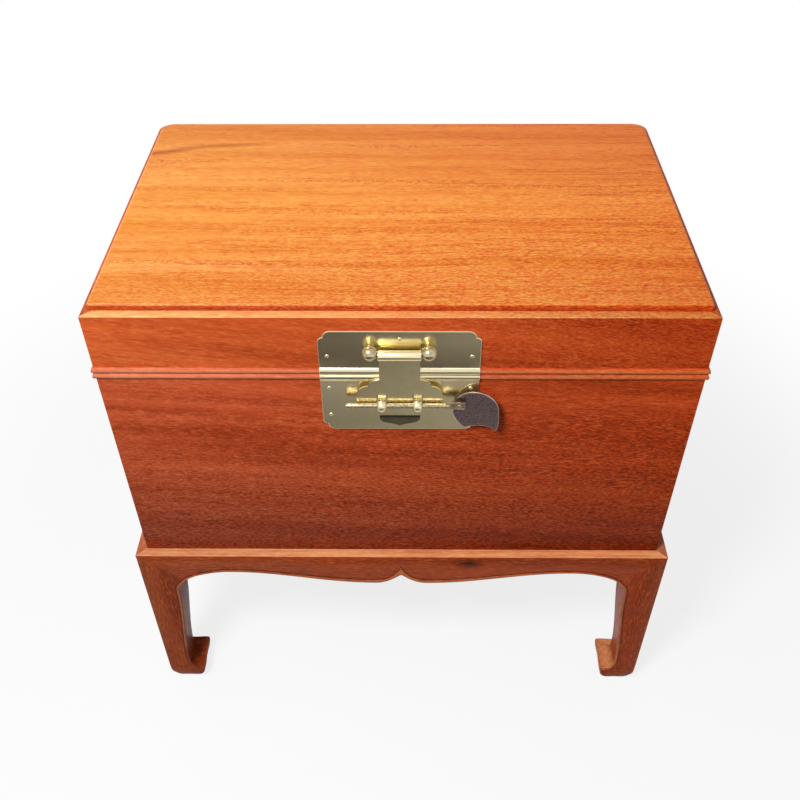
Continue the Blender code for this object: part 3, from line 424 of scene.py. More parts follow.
def paint(piece, *materials):
    """Gives a piece its materials, in the order of its slots."""
    piece.data.materials.clear()
    for material in materials:
        piece.data.materials.append(material)


left_shade = (ACROSS, 0.3, -0.3, (0.78, 0.86, 0.95))
leg_wood = rosewood("leg_rosewood", 2, LEG_WOOD, shine=0.05, shifts=(left_shade,))
first_leg = skin("leg_front_left", leg_places, leg_wear_and_light)
legs = {"front_left": first_leg}
for spot, flips in (("front_right", (-1, 1, 1)), ("back_left", (1, -1, 1)), ("back_right", (-1, -1, 1))):
    legs[spot] = copied(first_leg, "leg_" + spot)
    legs[spot].scale = flips
    bpy.ops.object.transform_apply()
    close_up(legs[spot])
# Painted shade: low on the left legs the pale marks turn dark, as those hoof tops face away from the lamp.
for spot, leg in legs.items():
    for mark, point in zip(leg.data.attributes["wear_and_painted_light"].data, leg.data.vertices):
        if point.co.x < 0 and point.co.z < HOOF_SHADE and mark.value > 0:
            mark.value *= LEFT_HOOF_SHADE
    smooth(leg)
    paint(leg, leg_wood)
    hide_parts("stand_leg_" + spot)
    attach(leg, "stand")

# Four aprons of rosewood board, whose square top edge is the ledge round the foot of the box.
# The lower edge is sawn to two long waves that rise to a middle cusp, with the legs' bead carried along it.
# Each board is mitred at both ends over the heads of two legs, and its back is rebated for the box.
APRON_THICK = 0.028
APRON_LAP = 0.0115
APRON_THIN = 0.108
APRON_STEPS = (14, 26, 16)
LOBE_HALF = 0.030
SWAY = 0.37
SAWN_EDGE = {"thin": 0.031, "lobe": 0.051, "pull": 0.013, "hollow": (0.007, 0.041), "cusp": 0.0358}
QUIRK_LINE = {"thin": 0.0275, "lobe": 0.0453, "pull": 0.0165, "hollow": (0.0048, 0.032), "cusp": 0.0202}
LEDGE_ARRIS = 0.0007
HEAD_CLEAR = 0.0523
# Marks round an apron ring: the ledge and the bead are pale, the bead partly as a painted highlight, and the
# quirk above the bead is darkened with painted shade.
APRON_WEAR_AND_LIGHT = [1, 1, 1, 0, 0, 0, -1, 0, 0.3, 0.5, 0.45, 0.3, 0.2, 0, 0, 0]
APRON_WOOD = LEG_WOOD | {"wear_and_painted_light": (0.900, 0.360, 0.145)}
END_APRON_WOOD = LEG_WOOD | {"wear_and_painted_light": (0.480, 0.150, 0.065)}
APRON_KNOT = ((0.086, -0.2025, 0.2572), (0.021, 0.020, 0.0115), 0, (0.030, 0.006, 0.003))
SIDES = ("front", "right", "back", "left")


def apron_line(run, mitre, drops):
    """A line along half an apron as (inset, drop) points: mitre, thin part, lobe and cusp."""
    thin, lobe = (APRON_THIN, drops["thin"]), (run - LOBE_HALF, drops["lobe"])
    near = APRON_THIN - (APRON_THIN - LEG_HEAD) * SWAY
    sway = (lobe[0] - APRON_THIN) * SWAY
    flow = Vector((MITRE_FLOW.x, -MITRE_FLOW.y))
    inset, drop = drops["hollow"]
    return sweep(
        (mitre, mitre + flow, (near, thin[1]), thin, APRON_STEPS[0]),
        (thin, (APRON_THIN + sway, thin[1]), (lobe[0] - sway, lobe[1]), lobe, APRON_STEPS[1]),
        (lobe, (lobe[0] + drops["pull"], lobe[1]), (run - inset, drop), (run, drops["cusp"]), APRON_STEPS[2]),
    )


def apron_ring(edge, quirk, top, mitred):
    """One ring of an apron as (inset, inward, drop), with its top drawn in along the corner mitre."""
    body = max(top, HEAD_CLEAR)
    rebate = STAND_TOP - BOX_SEAT
    eased = LEDGE_ARRIS * ROUND_SHARE
    ring = [(top + APRON_LAP * mitred, APRON_LAP, 0), (top + LEDGE_ARRIS * mitred, LEDGE_ARRIS, 0)]
    ring += [(top + eased * mitred, eased, eased), (top, 0, LEDGE_ARRIS)]
    ring += over_bead(ring[-1], quirk, edge, EDGE_BEAD_PROUD, lambda drop: 0)
    ring += [(max(edge.x, HEAD_CLEAR), APRON_THICK, edge.y), (body, APRON_THICK, rebate)]
    return ring + [(body, APRON_LAP, rebate)]


def apron(side):
    """An apron from mitre to mitre, turned to its side of the stand."""
    turn = SIDES.index(side)
    spans = (-STAND_LOW.x, -STAND_LOW.y)
    run, offset = spans if turn % 2 == 0 else spans[::-1]
    edges = apron_line(run, Vector((LEG_HEAD, LEG_MITRE)), SAWN_EDGE)
    quirks = apron_line(run, Vector((mitre_quirk.x, STAND_TOP - mitre_quirk.y)), QUIRK_LINE)
    rings = []
    for i, (edge, quirk) in enumerate(zip(edges, quirks)):
        share = min(1, i / APRON_STEPS[0])
        top = APRON_THIN * share if share < 1 else edge.x
        rings.append(apron_ring(edge, quirk, top, 1 - share))
    left = [[Vector((a - run, b - offset, STAND_TOP - d)) for a, b, d in ring] for ring in rings]
    right = [[Vector((-p.x, p.y, p.z)) for p in ring] for ring in reversed(left[:-1])]
    place = Matrix.Rotation(turn * math.pi / 2, 3, "Z")
    rings = [[place @ point for point in ring] for ring in left + right]
    return skin("apron_" + side, rings, [APRON_WEAR_AND_LIGHT] * len(rings))


apron_woods = [
    rosewood("long_apron_rosewood", 0, APRON_WOOD, knots=(APRON_KNOT,), shifts=(left_shade,)),
    rosewood("end_apron_rosewood", 1, END_APRON_WOOD),
]
for i, side in enumerate(SIDES):
    board = apron(side)
    smooth(board)
    paint(board, apron_woods[i % 2])
    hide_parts("stand_apron_" + side)
    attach(board, "stand")

# Two plain bearers across the stand, of a paler wood that is only oiled.
# Their ends are housed in the long aprons, and the box rests on them.
OILED = (0.5, 0.65)
BEARER_WOOD = {
    "dark": (0.16, 0.055, 0.022),
    "mid": (0.22, 0.080, 0.034),
    "light": (0.30, 0.115, 0.050),
    "streak": (0.09, 0.030, 0.012),
    "fleck": (0.34, 0.140, 0.065),
    "wear_and_painted_light": (0.40, 0.180, 0.090),
}
bearer_wood = rosewood("bearer_wood", 1, BEARER_WOOD, rough=OILED)
for hand in ("left", "right"):
    paint(frame["nodes"]["stand_bearer_" + hand], bearer_wood)

# Four walls of the box in rosewood board, dovetailed out of sight inside mitred corners.
# A half-round bead is worked along the top of each wall, and the plain foot stands behind the stand's ledge.
BOX_HALF = Vector((0.300, 0.197))
WALL_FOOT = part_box("box_front_wall")[0].z
WALL_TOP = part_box("box_front_wall")[1].z
WALL = 0.015
JOINT_BEAD = 0.0068
JOINT_BEAD_OUT = 0.0026
WALL_WOOD = {
    "dark": (0.440, 0.062, 0.016),
    "mid": (0.640, 0.110, 0.037),
    "light": (0.780, 0.148, 0.055),
    "streak": (0.330, 0.042, 0.010),
    "fleck": (0.820, 0.240, 0.105),
    "wear_and_painted_light": (0.780, 0.285, 0.145),
}
WALL_FIGURE = (0.55, 0.36, 0.3, 0.2)
UP = (0, 0, 1)


def drawn(name, places):
    """A line drawn point after point, left open in edit mode."""
    begin()
    bpy.ops.mesh.primitive_plane_add(size=0.001, location=places[0])
    line = bpy.context.object
    line.name = name
    bpy.ops.object.transform_apply()
    bpy.ops.object.mode_set(mode="EDIT")
    bpy.ops.mesh.select_mode(type="VERT")
    bpy.ops.mesh.merge(type="CENTER")
    for here, there in zip(places, places[1:]):
        bpy.ops.mesh.extrude_vertices_move(TRANSFORM_OT_translate={"value": there - here})
    bpy.ops.mesh.select_all(action="SELECT")
    return line


def drawn_block(name, places, reach):
    """A drawn outline filled and drawn out into a block, left open in edit mode."""
    block = drawn(name, places)
    bpy.ops.mesh.edge_face_add()
    bpy.ops.mesh.extrude_region_move(TRANSFORM_OT_translate={"value": reach})
    bpy.ops.mesh.select_all(action="SELECT")
    return block


def arc(centre, radii, start, end, steps):
    """Points of an arc in a plane, from one angle in degrees to another."""
    turns = [math.radians(start + (end - start) * i / steps) for i in range(steps + 1)]
    return [(centre[0] + radii[0] * math.cos(t), centre[1] + radii[1] * math.sin(t)) for t in turns]


def joint_bead(low):
    """The half-round beside the joint of lid and box, as (inset, height, wear and painted highlight) going
    up.
    """
    curve = arc((0, low + JOINT_BEAD / 2), (JOINT_BEAD_OUT, JOINT_BEAD / 2), -90, 90, 12)
    return [(-out, z, (out / JOINT_BEAD_OUT) ** 3) for out, z in curve]


def mark_wear_and_light(piece, wear):
    """Marks each point of a piece with its wear and painted light, from its place."""
    marks = piece.data.attributes.new("wear_and_painted_light", "FLOAT", "POINT")
    for mark, point in zip(marks.data, piece.data.vertices):
        mark.value = wear(point.co)


def mitred_board(name, side, section):
    """A board along one side of the box: its (inset, height, wear and painted light) section drawn, drawn out
    and mitred.
    """
    turn = SIDES.index(side)
    run, offset = BOX_HALF if turn % 2 == 0 else BOX_HALF.yx
    reach = run + 2 * JOINT_BEAD_OUT
    start = [Vector((-reach, inset - offset, z)) for inset, z, wear in section]
    board = drawn_block(name, start, (2 * reach, 0, 0))
    for hand in (-1, 1):
        bpy.ops.mesh.select_all(action="SELECT")
        corner = (hand * run, -offset, 0)
        bpy.ops.mesh.bisect(plane_co=corner, plane_no=(hand, 1, 0), use_fill=True, clear_outer=True)
    shut()
    mark_wear_and_light(board, lambda at: min(section, key=lambda p: abs(p[0] - offset - at.y) + abs(p[1] - at.z))[2])
    take(board)
    board.rotation_euler.z = turn * math.pi / 2
    bpy.ops.object.transform_apply()
    close_up(board)
    return board


wall_section = [(0, WALL_FOOT, 0)] + joint_bead(WALL_TOP - JOINT_BEAD)
wall_section += [(WALL, WALL_TOP, 0), (WALL, WALL_FOOT, 0)]
foot_shade = (UP, 0.46, 0.27, (0.40, 0.36, 0.39))
right_shade = (ACROSS, -0.3, 0.3, (0.95, 0.67, 0.36))
wall_pores = ((0.5, 0, -3.2), -1.75, -1.05, 0.1, 0.95)
wall_plain = ((1, 0, -3.2), -1.85, -1.2, 0.55, 1.0)
wall_woods = [
    rosewood(
        "long_wall_rosewood",
        0,
        WALL_WOOD,
        WALL_FIGURE,
        tilt=(0, -0.06, 0),
        shifts=(foot_shade, right_shade),
        coarse=wall_pores,
        plain=wall_plain,
    ),
    rosewood("end_wall_rosewood", 1, WALL_WOOD, WALL_FIGURE, shifts=(foot_shade,), coarse=wall_pores),
]
for i, side in enumerate(SIDES):
    wall = mitred_board("wall_" + side, side, wall_section)
    smooth(wall)
    paint(wall, wall_woods[i % 2])
    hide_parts(f"box_{side}_wall")
    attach(wall, "box")

# The bottom board, of the same plain wood as the bearers, tongued into grooves round the walls.
# Nothing holds it but the grooves, so that it can swell and shrink.
paint(frame["nodes"]["box_bottom_board"], rosewood("bottom_board_wood", 0, BEARER_WOOD, rough=OILED))

# The lid's four rails, mitred like the walls and cut from the same boards, with a bead to match below.
# Their top edge is a narrow flat rim round the raised panel, and the two back corners are rounded off.
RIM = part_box("lid_front_rail")[1].z
RAIL_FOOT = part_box("lid_front_rail")[0].z
RIM_WIDTH = 0.010
RIM_ARRIS = 0.0010
RIM_WEAR = (0, 0.7, 1, 1, 0.8)
PANEL_FLOOR = RIM - 0.008
BACK_CORNER = 0.018
ROUNDED_ENDS = {"front": (), "right": (1,), "back": (-1, 1), "left": (-1,)}
TOUCH = 1e-5
RAIL_WOOD = WALL_WOOD | {
    "dark": (0.540, 0.085, 0.018),
    "mid": (0.720, 0.130, 0.031),
    "light": (0.840, 0.168, 0.044),
    "wear_and_painted_light": (0.960, 0.520, 0.190),
}
# The end rails take a dark tone where the others are pale: painted shade on their rim along the sides of the
# lid.
END_RAIL_SHADED_WOOD = RAIL_WOOD | {"wear_and_painted_light": (0.320, 0.075, 0.028)}


def carve(piece, tool, kind="DIFFERENCE"):
    """Cuts a tool out of a piece, or joins it on, and clears the tool away."""
    take(piece)
    step = piece.modifiers.new("carve", "BOOLEAN")
    step.object = tool
    step.operation = kind
    bpy.ops.object.modifier_apply(modifier=step.name)
    bpy.data.objects.remove(tool)


def waste_block(places, reach):
    """A block in the shape of the waste that is to be cut away."""
    waste = drawn_block("waste", places, reach)
    shut()
    close_up(waste)
    return waste


def corner_waste(hand):
    """The waste outside a rounded back corner of the lid, above its bead."""
    past = 2 * BACK_CORNER
    plan = arc((0, 0), (BACK_CORNER, BACK_CORNER), 0, 90, 12) + [(0, past), (past, past), (past, 0)]
    centre = BOX_HALF - Vector((BACK_CORNER, BACK_CORNER))
    low = RAIL_FOOT + JOINT_BEAD
    return waste_block([Vector((hand * (centre.x + x), centre.y + y, low)) for x, y in plan], (0, 0, RIM))


rim_edge = arc((RIM_ARRIS, RIM - RIM_ARRIS), (-RIM_ARRIS, RIM_ARRIS), 0, 90, 4)
rail_section = joint_bead(RAIL_FOOT)
rail_section += [(inset, z, wear) for (inset, z), wear in zip(rim_edge, RIM_WEAR)]
rail_section += [(RIM_WIDTH, RIM, 0.7), (RIM_WIDTH, PANEL_FLOOR, 0)]
rail_section += [(WALL, PANEL_FLOOR, 0), (WALL, RAIL_FOOT, 0)]
# The long rails are tinted darker towards the right: painted shade, away from the lamp.
rail_woods = [
    rosewood(
        "long_rail_rosewood",
        0,
        RAIL_WOOD,
        WALL_FIGURE,
        tilt=(0, -0.14, 0),
        shifts=((ACROSS, -0.3, 0.3, (0.70, 0.42, 0.26)),),
        coarse=(ACROSS, -0.2, 0.2, 0.0, 0.65),
    ),
    rosewood("end_rail_rosewood", 1, END_RAIL_SHADED_WOOD, WALL_FIGURE, shine=0.03),
]
for i, side in enumerate(SIDES):
    rail = mitred_board("rail_" + side, side, rail_section)
    for hand in ROUNDED_ENDS[side]:
        carve(rail, corner_waste(hand))
    open_up(rail)
    bpy.ops.mesh.bisect(plane_co=(0, 0, RIM - RIM_ARRIS), plane_no=(0, 0, 1))
    shut()
    for mark, point in zip(rail.data.attributes["wear_and_painted_light"].data, rail.data.vertices):
        if RAIL_FOOT + JOINT_BEAD - TOUCH < point.co.z < RIM - RIM_ARRIS + TOUCH:
            mark.value = 0
    smooth(rail)
    paint(rail, rail_woods[i % 2], wall_woods[i % 2])
    for face in rail.data.polygons:
        face.material_index = 1 if face.center.z < RAIL_FOOT + JOINT_BEAD else 0
    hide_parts(f"lid_{side}_rail")
    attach(rail, "lid")

# The lid's panel, one wide board of bright rosewood let into the rails, with its field raised above the rim.
# Its upper edge is eased all round and its corners are rounded, the back ones more.
PANEL_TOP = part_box("lid_top_panel")[1].z
PANEL_GAP = 0.0003
FIELD_SIDE = 0.0044
FIELD_EASE = 0.0036
FRONT_CORNER = 0.004
REAR_CORNER = 0.0155
INWARD = (0, 1, 0)
PANEL_WOOD = {
    "dark": (0.780, 0.245, 0.029),
    "mid": (0.920, 0.360, 0.071),
    "light": (0.960, 0.420, 0.102),
    "streak": (0.640, 0.130, 0.011),
    "fleck": (0.640, 0.130, 0.011),
    "wear_and_painted_light": (0.950, 0.450, 0.150),
}
# A darker copy of the panel's wood for its eased edge and its sides: painted shade where they turn from the
# light.
PANEL_SHADED_SIDE = PANEL_WOOD | {
    "dark": (0.470, 0.070, 0.012),
    "mid": (0.560, 0.100, 0.016),
    "light": (0.650, 0.130, 0.022),
}
PANEL_STREAKS = (
    ((-0.272, 0.118, PANEL_TOP), (0.060, 0.008, 0.020), 0.26, (0.420, 0.075, 0.006)),
    ((-0.205, 0.133, PANEL_TOP), (0.070, 0.007, 0.020), 0.09, (0.560, 0.140, 0.012)),
)
# Painted light across the top: it is darker and redder towards the right, away from the lamp. It is also
# darker towards the front and redder towards the back.
PANEL_SHIFTS = (
    (ACROSS, -0.25, 0.3, (1.0, 0.67, 0.47)),
    (INWARD, -0.02, -0.187, (0.77, 0.67, 0.77)),
    (INWARD, 0.02, 0.187, (1.0, 0.86, 0.78)),
)


def boxed(name, centre, size):
    """A square-edged block, still to be worked."""
    begin()
    bpy.ops.mesh.primitive_cube_add(size=1, location=centre)
    block = bpy.context.object
    block.name = name
    block.scale = size
    bpy.ops.object.transform_apply()
    return block


def pick(piece, kind, test):
    """In edit mode, selects just the faces, edges or points that pass a test."""
    bpy.ops.mesh.select_mode(type=kind)
    bpy.ops.mesh.select_all(action="DESELECT")
    shape = bmesh.from_edit_mesh(piece.data)
    for part in {"FACE": shape.faces, "EDGE": shape.edges, "VERT": shape.verts}[kind]:
        part.select = test(part)
    shape.select_flush_mode()
    bmesh.update_edit_mesh(piece.data)


def upright(edge):
    """Whether an edge stands straight up."""
    low, high = [point.co for point in edge.verts]
    return (low - high).xy.length < TOUCH


def panel_edge_highlight(at):
    """The eased edge is painted pale as a highlight, the more so towards the left."""
    on_edge = PANEL_TOP - 0.4 * FIELD_EASE < at.z < PANEL_TOP - 0.01 * FIELD_EASE
    return max(0, -2 * at.x) if on_edge else 0


field_half = BOX_HALF - Vector((FIELD_SIDE, RIM_WIDTH))
field_low = RIM + PANEL_GAP
field_size = (2 * field_half.x, 2 * field_half.y, PANEL_TOP - field_low)
panel = boxed("lid_panel", (0, 0, (field_low + PANEL_TOP) / 2), field_size)
open_up(panel)
pick(panel, "EDGE", lambda edge: upright(edge) and edge.verts[0].co.y < 0)
bpy.ops.mesh.bevel(offset=FRONT_CORNER, segments=8, affect="EDGES")
pick(panel, "EDGE", lambda edge: upright(edge) and edge.verts[0].co.y > field_half.y - TOUCH)
bpy.ops.mesh.bevel(offset=REAR_CORNER, segments=12, affect="EDGES")
pick(panel, "EDGE", lambda edge: all(point.co.z > PANEL_TOP - TOUCH for point in edge.verts))
bpy.ops.mesh.bevel(offset=FIELD_EASE, segments=8, affect="EDGES")
pick(panel, "FACE", lambda face: face.normal.z < -0.9)
bpy.ops.mesh.inset(thickness=PANEL_GAP)
tongue_half = BOX_HALF.x - RIM_WIDTH - PANEL_GAP
slim = tongue_half / (field_half.x - PANEL_GAP)
bpy.ops.transform.resize(value=(slim, 1, 1), center_override=(0, 0, field_low))
bpy.ops.mesh.extrude_region_move(TRANSFORM_OT_translate={"value": (0, 0, PANEL_FLOOR - RIM)})
shut()
close_up(panel)
mark_wear_and_light(panel, panel_edge_highlight)
smooth(panel)
panel_woods = []
for name, wood in (("panel_rosewood", PANEL_WOOD), ("panel_shaded_side_rosewood", PANEL_SHADED_SIDE)):
    finish = rosewood(
        name,
        0,
        wood,
        (0.7, 0.5, 0.6, -0.22),
        shine=0.07,
        knots=PANEL_STREAKS,
        shifts=PANEL_SHIFTS,
        coarse=((0.8, -2.0, 0), -0.15, 0.36, 0.0, 0.75),
        plain=((1, -1.6, 0), -0.22, 0.20, 0.45, 1.15),
    )
    panel_woods.append(finish)
paint(panel, *panel_woods)
# The top takes the panel's wood, and the eased edge and the sides take the darker copy as painted shade.
for face in panel.data.polygons:
    face.material_index = 0 if face.normal.z > 0.85 else 1
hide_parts("lid_top_panel")
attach(panel, "lid")

# Two battens under the lid, slid into dovetailed housings across the panel to keep it flat.
# They are of the plain wood of the bearers, and only oiled.
batten_wood = rosewood("batten_wood", 1, BEARER_WOOD, rough=OILED)
for hand in ("left", "right"):
    paint(frame["nodes"]["lid_batten_" + hand], batten_wood)

# The lock's two plates, cut from brass sheet and hammered over the beads, one on the lid and one on the box.
# Their far corners are sawn to two small rounds with a notch between, and their edges are filed bright.
LID_JOINT = (WALL_TOP + RAIL_FOOT) / 2
PLATE = 0.0012
PLATE_GAP = 0.0003
PLATE_OUT = PLATE_GAP + PLATE
PLATE_EASE = 0.0007
PLATE_WELD = 5e-5
LOCK_HALF = 0.0785
LOCK_UP = 0.0532
LOCK_DOWN = 0.0748
CORNER_STEP = 0.0050
CORNER_ROUND = 0.0076
FRONT = -BOX_HALF.y
PLATE_METAL = {"clean": (0.82, 0.73, 0.48), "dull": (0.74, 0.65, 0.41), "bright": (0.92, 0.83, 0.60)}
FILED = (0.25, 0.4)


def metal(name, clean, dull, rough=(0.16, 0.26), patches=45):
    """Polished and aged metal: patches of tarnish, with fine scratches from left to right."""
    material, tree, shader = new_paint(name)
    shader.inputs["Metallic"].default_value = 1
    place = node(tree, "TexCoord").outputs["Object"]
    tarnish = node(tree, "TexNoise", place, Scale=patches, Detail=6, Roughness=0.6).outputs["Fac"]
    scratches = grain(tree, place, 0, 40, 2600, 2)
    colour = ramp(tree, tarnish, (0.35, dull), (0.62, clean))
    colour = mix(tree, 0.12, colour, ramp(tree, scratches, (0.4, 0.25), (0.6, 0.75)), "OVERLAY")
    rough = ramp(tree, tarnish, (0.35, rough[1]), (0.65, rough[0]))
    coat(tree, shader, colour, rough, mix(tree, 0.6, scratches, tarnish), 0.06, 0.0002)
    return material


def ease(piece, width, edge_slot=0, clamped=True):
    """Rounds a piece's sharp edges by a little, and may give the rounds another material slot."""
    take(piece)
    step = piece.modifiers.new("ease", "BEVEL")
    step.width = width
    step.segments = 2
    step.limit_method = "ANGLE"
    step.angle_limit = math.radians(40)
    step.material = edge_slot
    step.use_clamp_overlap = clamped
    bpy.ops.object.modifier_apply(modifier=step.name)


def plane_off(piece):
    """Takes the seams out of a piece's flat faces."""
    open_up(piece)
    bpy.ops.mesh.dissolve_limited(angle_limit=math.radians(1))
    shut()


def lock_corner(x, z, hand, way):
    """The waste outside a far corner of a lock plate."""
    size = CORNER_STEP + CORNER_ROUND
    curve = arc((CORNER_STEP, -size), (CORNER_STEP, CORNER_STEP), 180, 90, 8)
    curve += arc((size, -CORNER_ROUND), (CORNER_ROUND, CORNER_ROUND), 180, 90, 8)[1:]
    plan = [(-size, -size)] + curve + [(size, size), (-size, size)]
    places = [Vector((x - hand * across, FRONT - size, z + way * up)) for across, up in plan]
    return waste_block(places, (0, 2 * size, 0))


def lock_plate(name, way, reach):
    """A plate up or down from the joint: its skin drawn over bead and board, drawn out and thickened."""
    radii = (JOINT_BEAD_OUT + PLATE_OUT, JOINT_BEAD / 2 + PLATE_OUT)
    start = -math.degrees(math.asin(JOINT_BEAD / 2 / radii[1]))
    end = math.degrees(math.acos(PLATE_OUT / radii[0]))
    skin_line = arc((0, PLATE_GAP / 2 + JOINT_BEAD / 2), radii, start, end, 14) + [(PLATE_OUT, reach)]
    sheet = drawn(name, [Vector((-LOCK_HALF, FRONT - out, LID_JOINT + way * up)) for out, up in skin_line])
    bpy.ops.mesh.extrude_region_move(TRANSFORM_OT_translate={"value": (2 * LOCK_HALF, 0, 0)})
    bpy.ops.mesh.select_all(action="SELECT")
    bpy.ops.mesh.normals_make_consistent(inside=False)
    shut()
    step = sheet.modifiers.new("thickness", "SOLIDIFY")
    step.thickness = PLATE
    step.offset = 1 if sheet.data.polygons[0].normal.y > 0 else -1
    step.use_even_offset = True
    take(sheet)
    bpy.ops.object.modifier_apply(modifier=step.name)
    close_up(sheet)
    for hand in (-1, 1):
        carve(sheet, lock_corner(hand * LOCK_HALF, LID_JOINT + way * reach, hand, way))
    open_up(sheet)
    bpy.ops.mesh.remove_doubles(threshold=PLATE_WELD)
    shut()
    plane_off(sheet)
    return sheet


plate_brass = metal("plate_brass", PLATE_METAL["clean"], PLATE_METAL["dull"])
filed_brass = metal("filed_edge_brass", PLATE_METAL["bright"], PLATE_METAL["clean"], rough=FILED)
for name, way, reach, body in (("upper", 1, LOCK_UP, "lid"), ("lower", -1, LOCK_DOWN, "box")):
    plate = lock_plate(f"lock_sheet_{name}", way, reach)
    paint(plate, plate_brass, filed_brass)
    ease(plate, PLATE_EASE, edge_slot=1, clamped=False)
    smooth(plate, 20)
    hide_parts(f"{name}_lock_plate")
    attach(plate, body)

# Small round-headed brass nails that hold the plates and the hinges, each turned from wire and driven home.
# Their heads stand proud, and their brass has tarnished in small spots.
NAIL_HEAD = 0.0021
NAIL_DOME = 0.0010
NAIL_SHANK = 0.0007
NAIL_GRIP = 0.004
NAIL_METAL = ((0.86, 0.76, 0.50), (0.55, 0.45, 0.25))
NAIL_KINDS = {-1: ("upper_lock_nail", "lower_lock_nail"), 1: ("hinge_lid_nail", "hinge_box_nail")}


def turned(name, base, axis, profile, steps=32):
    """A form turned on a lathe: its (radius, along) profile drawn from a base and spun about an axis."""
    axis = Vector(axis)
    out = axis.orthogonal().normalized()
    form = drawn(name, [Vector(base) + out * radius + axis * along for radius, along in profile])
    bpy.ops.mesh.spin(steps=steps, angle=math.tau, center=base, axis=axis)
    shut()
    close_up(form)
    return form


nail_brass = metal("nail_brass", *NAIL_METAL, rough=(0.2, 0.4), patches=400)
nail_profile = [(0, -NAIL_GRIP), (NAIL_SHANK, -NAIL_GRIP + NAIL_SHANK), (NAIL_SHANK, 0)]
nail_profile += arc((0, 0), (NAIL_HEAD, NAIL_DOME), 0, 90, 6)
for way, kinds in NAIL_KINDS.items():
    pattern = turned("nail_pattern", (0, 0, 0), (0, way, 0), nail_profile, steps=20)
    for name in [name for name in frame["nodes"] if name.startswith(kinds)]:
        low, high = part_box(name)
        face = high.y - NAIL_DOME if way > 0 else low.y + NAIL_DOME
        nail = copied(pattern, "driven_" + name)
        nail.location = ((low.x + high.x) / 2, face, (low.z + high.z) / 2)
        bpy.ops.object.transform_apply()
        smooth(nail, 40)
        paint(nail, nail_brass)
        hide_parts(name)
        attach(nail, "lid" if "upper" in name or "lid" in name else "box")
    bpy.data.objects.remove(pattern)

# Two strap hinges across the back, each of two brass leaves with rolled knuckles on a turned pin.
# Copies of the solids are welded and their edges filed round.
HINGE_EASE = 0.00025
HINGE_METAL = ((0.72, 0.60, 0.34), (0.52, 0.42, 0.22))
HINGE_PARTS = (("lid_leaf", "lid", "brass"), ("box_leaf", "box", "brass"), ("pin", "box", "old_brass"))


def filed_copy(solid, width):
    """A copy of one of the solids, welded and with its edges filed round."""
    copy = copied(frame["nodes"][solid], "filed_" + solid)
    copy.parent = None
    del copy["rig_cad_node"]
    close_up(copy)
    plane_off(copy)
    copy.data.materials.clear()
    ease(copy, width)
    smooth(copy)
    return copy


hinge_brass = metal("hinge_brass", *HINGE_METAL)
for hand in ("left", "right"):
    for part, body, finish in HINGE_PARTS:
        solid = f"hinge_{part}_{hand}"
        leaf = filed_copy(solid, HINGE_EASE)
        paint(leaf, hinge_brass)
        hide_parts(solid)
        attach(leaf, body)

# Two turned brass posts with ball heads, driven through the upper plate, and the axle that they carry.
# A small collar stands under each ball.
HASP_AXLE = Vector((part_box("hasp_axle")[0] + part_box("hasp_axle")[1])) / 2
POST_X = 0.0282
POST_RISE = 0.0018
BALL = 0.0076
POST_NECK = 0.0030
POST_STUB = 0.0018
POST_GRIP = 0.006
POST_COLLAR = 0.0042
COLLAR_FACE = 0.003864
COLLAR_THICK = 0.0010
COLLAR_EASE = 0.0003
BALL_METAL = ((0.62, 0.53, 0.34), (0.36, 0.29, 0.16))
ball_brass = metal("ball_brass", *BALL_METAL, rough=(0.17, 0.28), patches=160)
collar = PLATE_OUT + PLATE_GAP
neck = collar + COLLAR_THICK
ball_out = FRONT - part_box("hasp_post_left")[0].y - BALL
post_profile = [(0, -POST_GRIP), (POST_STUB, -POST_GRIP), (POST_STUB, collar), (COLLAR_FACE, collar)]
post_profile += [(POST_COLLAR, collar + COLLAR_EASE), (POST_COLLAR, neck - COLLAR_EASE)]
post_profile += [(COLLAR_FACE, neck), (POST_NECK, neck)]
join = math.degrees(math.asin(POST_NECK / BALL))
post_profile += [(y, ball_out - x) for x, y in arc((0, 0), (BALL, BALL), join, 180, 18)]
for hand, x in (("left", -POST_X), ("right", POST_X)):
    post = turned(f"post_{hand}", (x, FRONT, HASP_AXLE.z + POST_RISE), (0, -1, 0), post_profile, steps=40)
    smooth(post, 40)
    paint(post, ball_brass)
    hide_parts(f"hasp_post_{hand}")
    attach(post, "lid")
paint(frame["nodes"]["hasp_axle"], ball_brass)

# The hasp, sawn from thick brass sheet: a neck rolled round the axle, a wide belly with a slot for each eye,
# and a short tail whose tip is bent out for the finger.
HASP_THICK = 0.0015
HASP_STAND = 0.0044
HASP_EASE = 0.0005
HASP_NECK = 0.020
BARREL = 0.0052
BARREL_HALF = 0.02075
BARREL_EASE = 0.0005
AXLE_HOLE = 0.0019
BORE_HALF = 0.03
SHOULDER_DROP = 0.0433
SHOULDER_RISE = 0.0083
BELLY_ROUND = 0.0115
BELLY_X = 0.0315
BELLY_DROP = 0.057
BELLY_FOOT = 0.0745
SLOT_X = 0.0179
SLOT_HALF = 0.0053
SLOT_TOP = 0.054
SLOT_FOOT = 0.0724
TAIL = 0.0205
TAIL_CORNER = 0.002
TAIL_PULLS = ((0.0205, -0.0918), (0.0075, -0.0892))
TIP_DROP = 0.093
TIP_ANGLE = 35
BEND_DROP = 0.084
BEND_LENGTH = 0.004
BEND_STEPS = 6
HASP_METAL = {"clean": (0.95, 0.85, 0.54), "dull": (0.88, 0.77, 0.47), "bright": (0.98, 0.90, 0.65)}
# The tip's near-black brass is a painted dark reflection.
DARK_TIP_REFLECTION = ((0.065, 0.055, 0.035), (0.045, 0.038, 0.024))


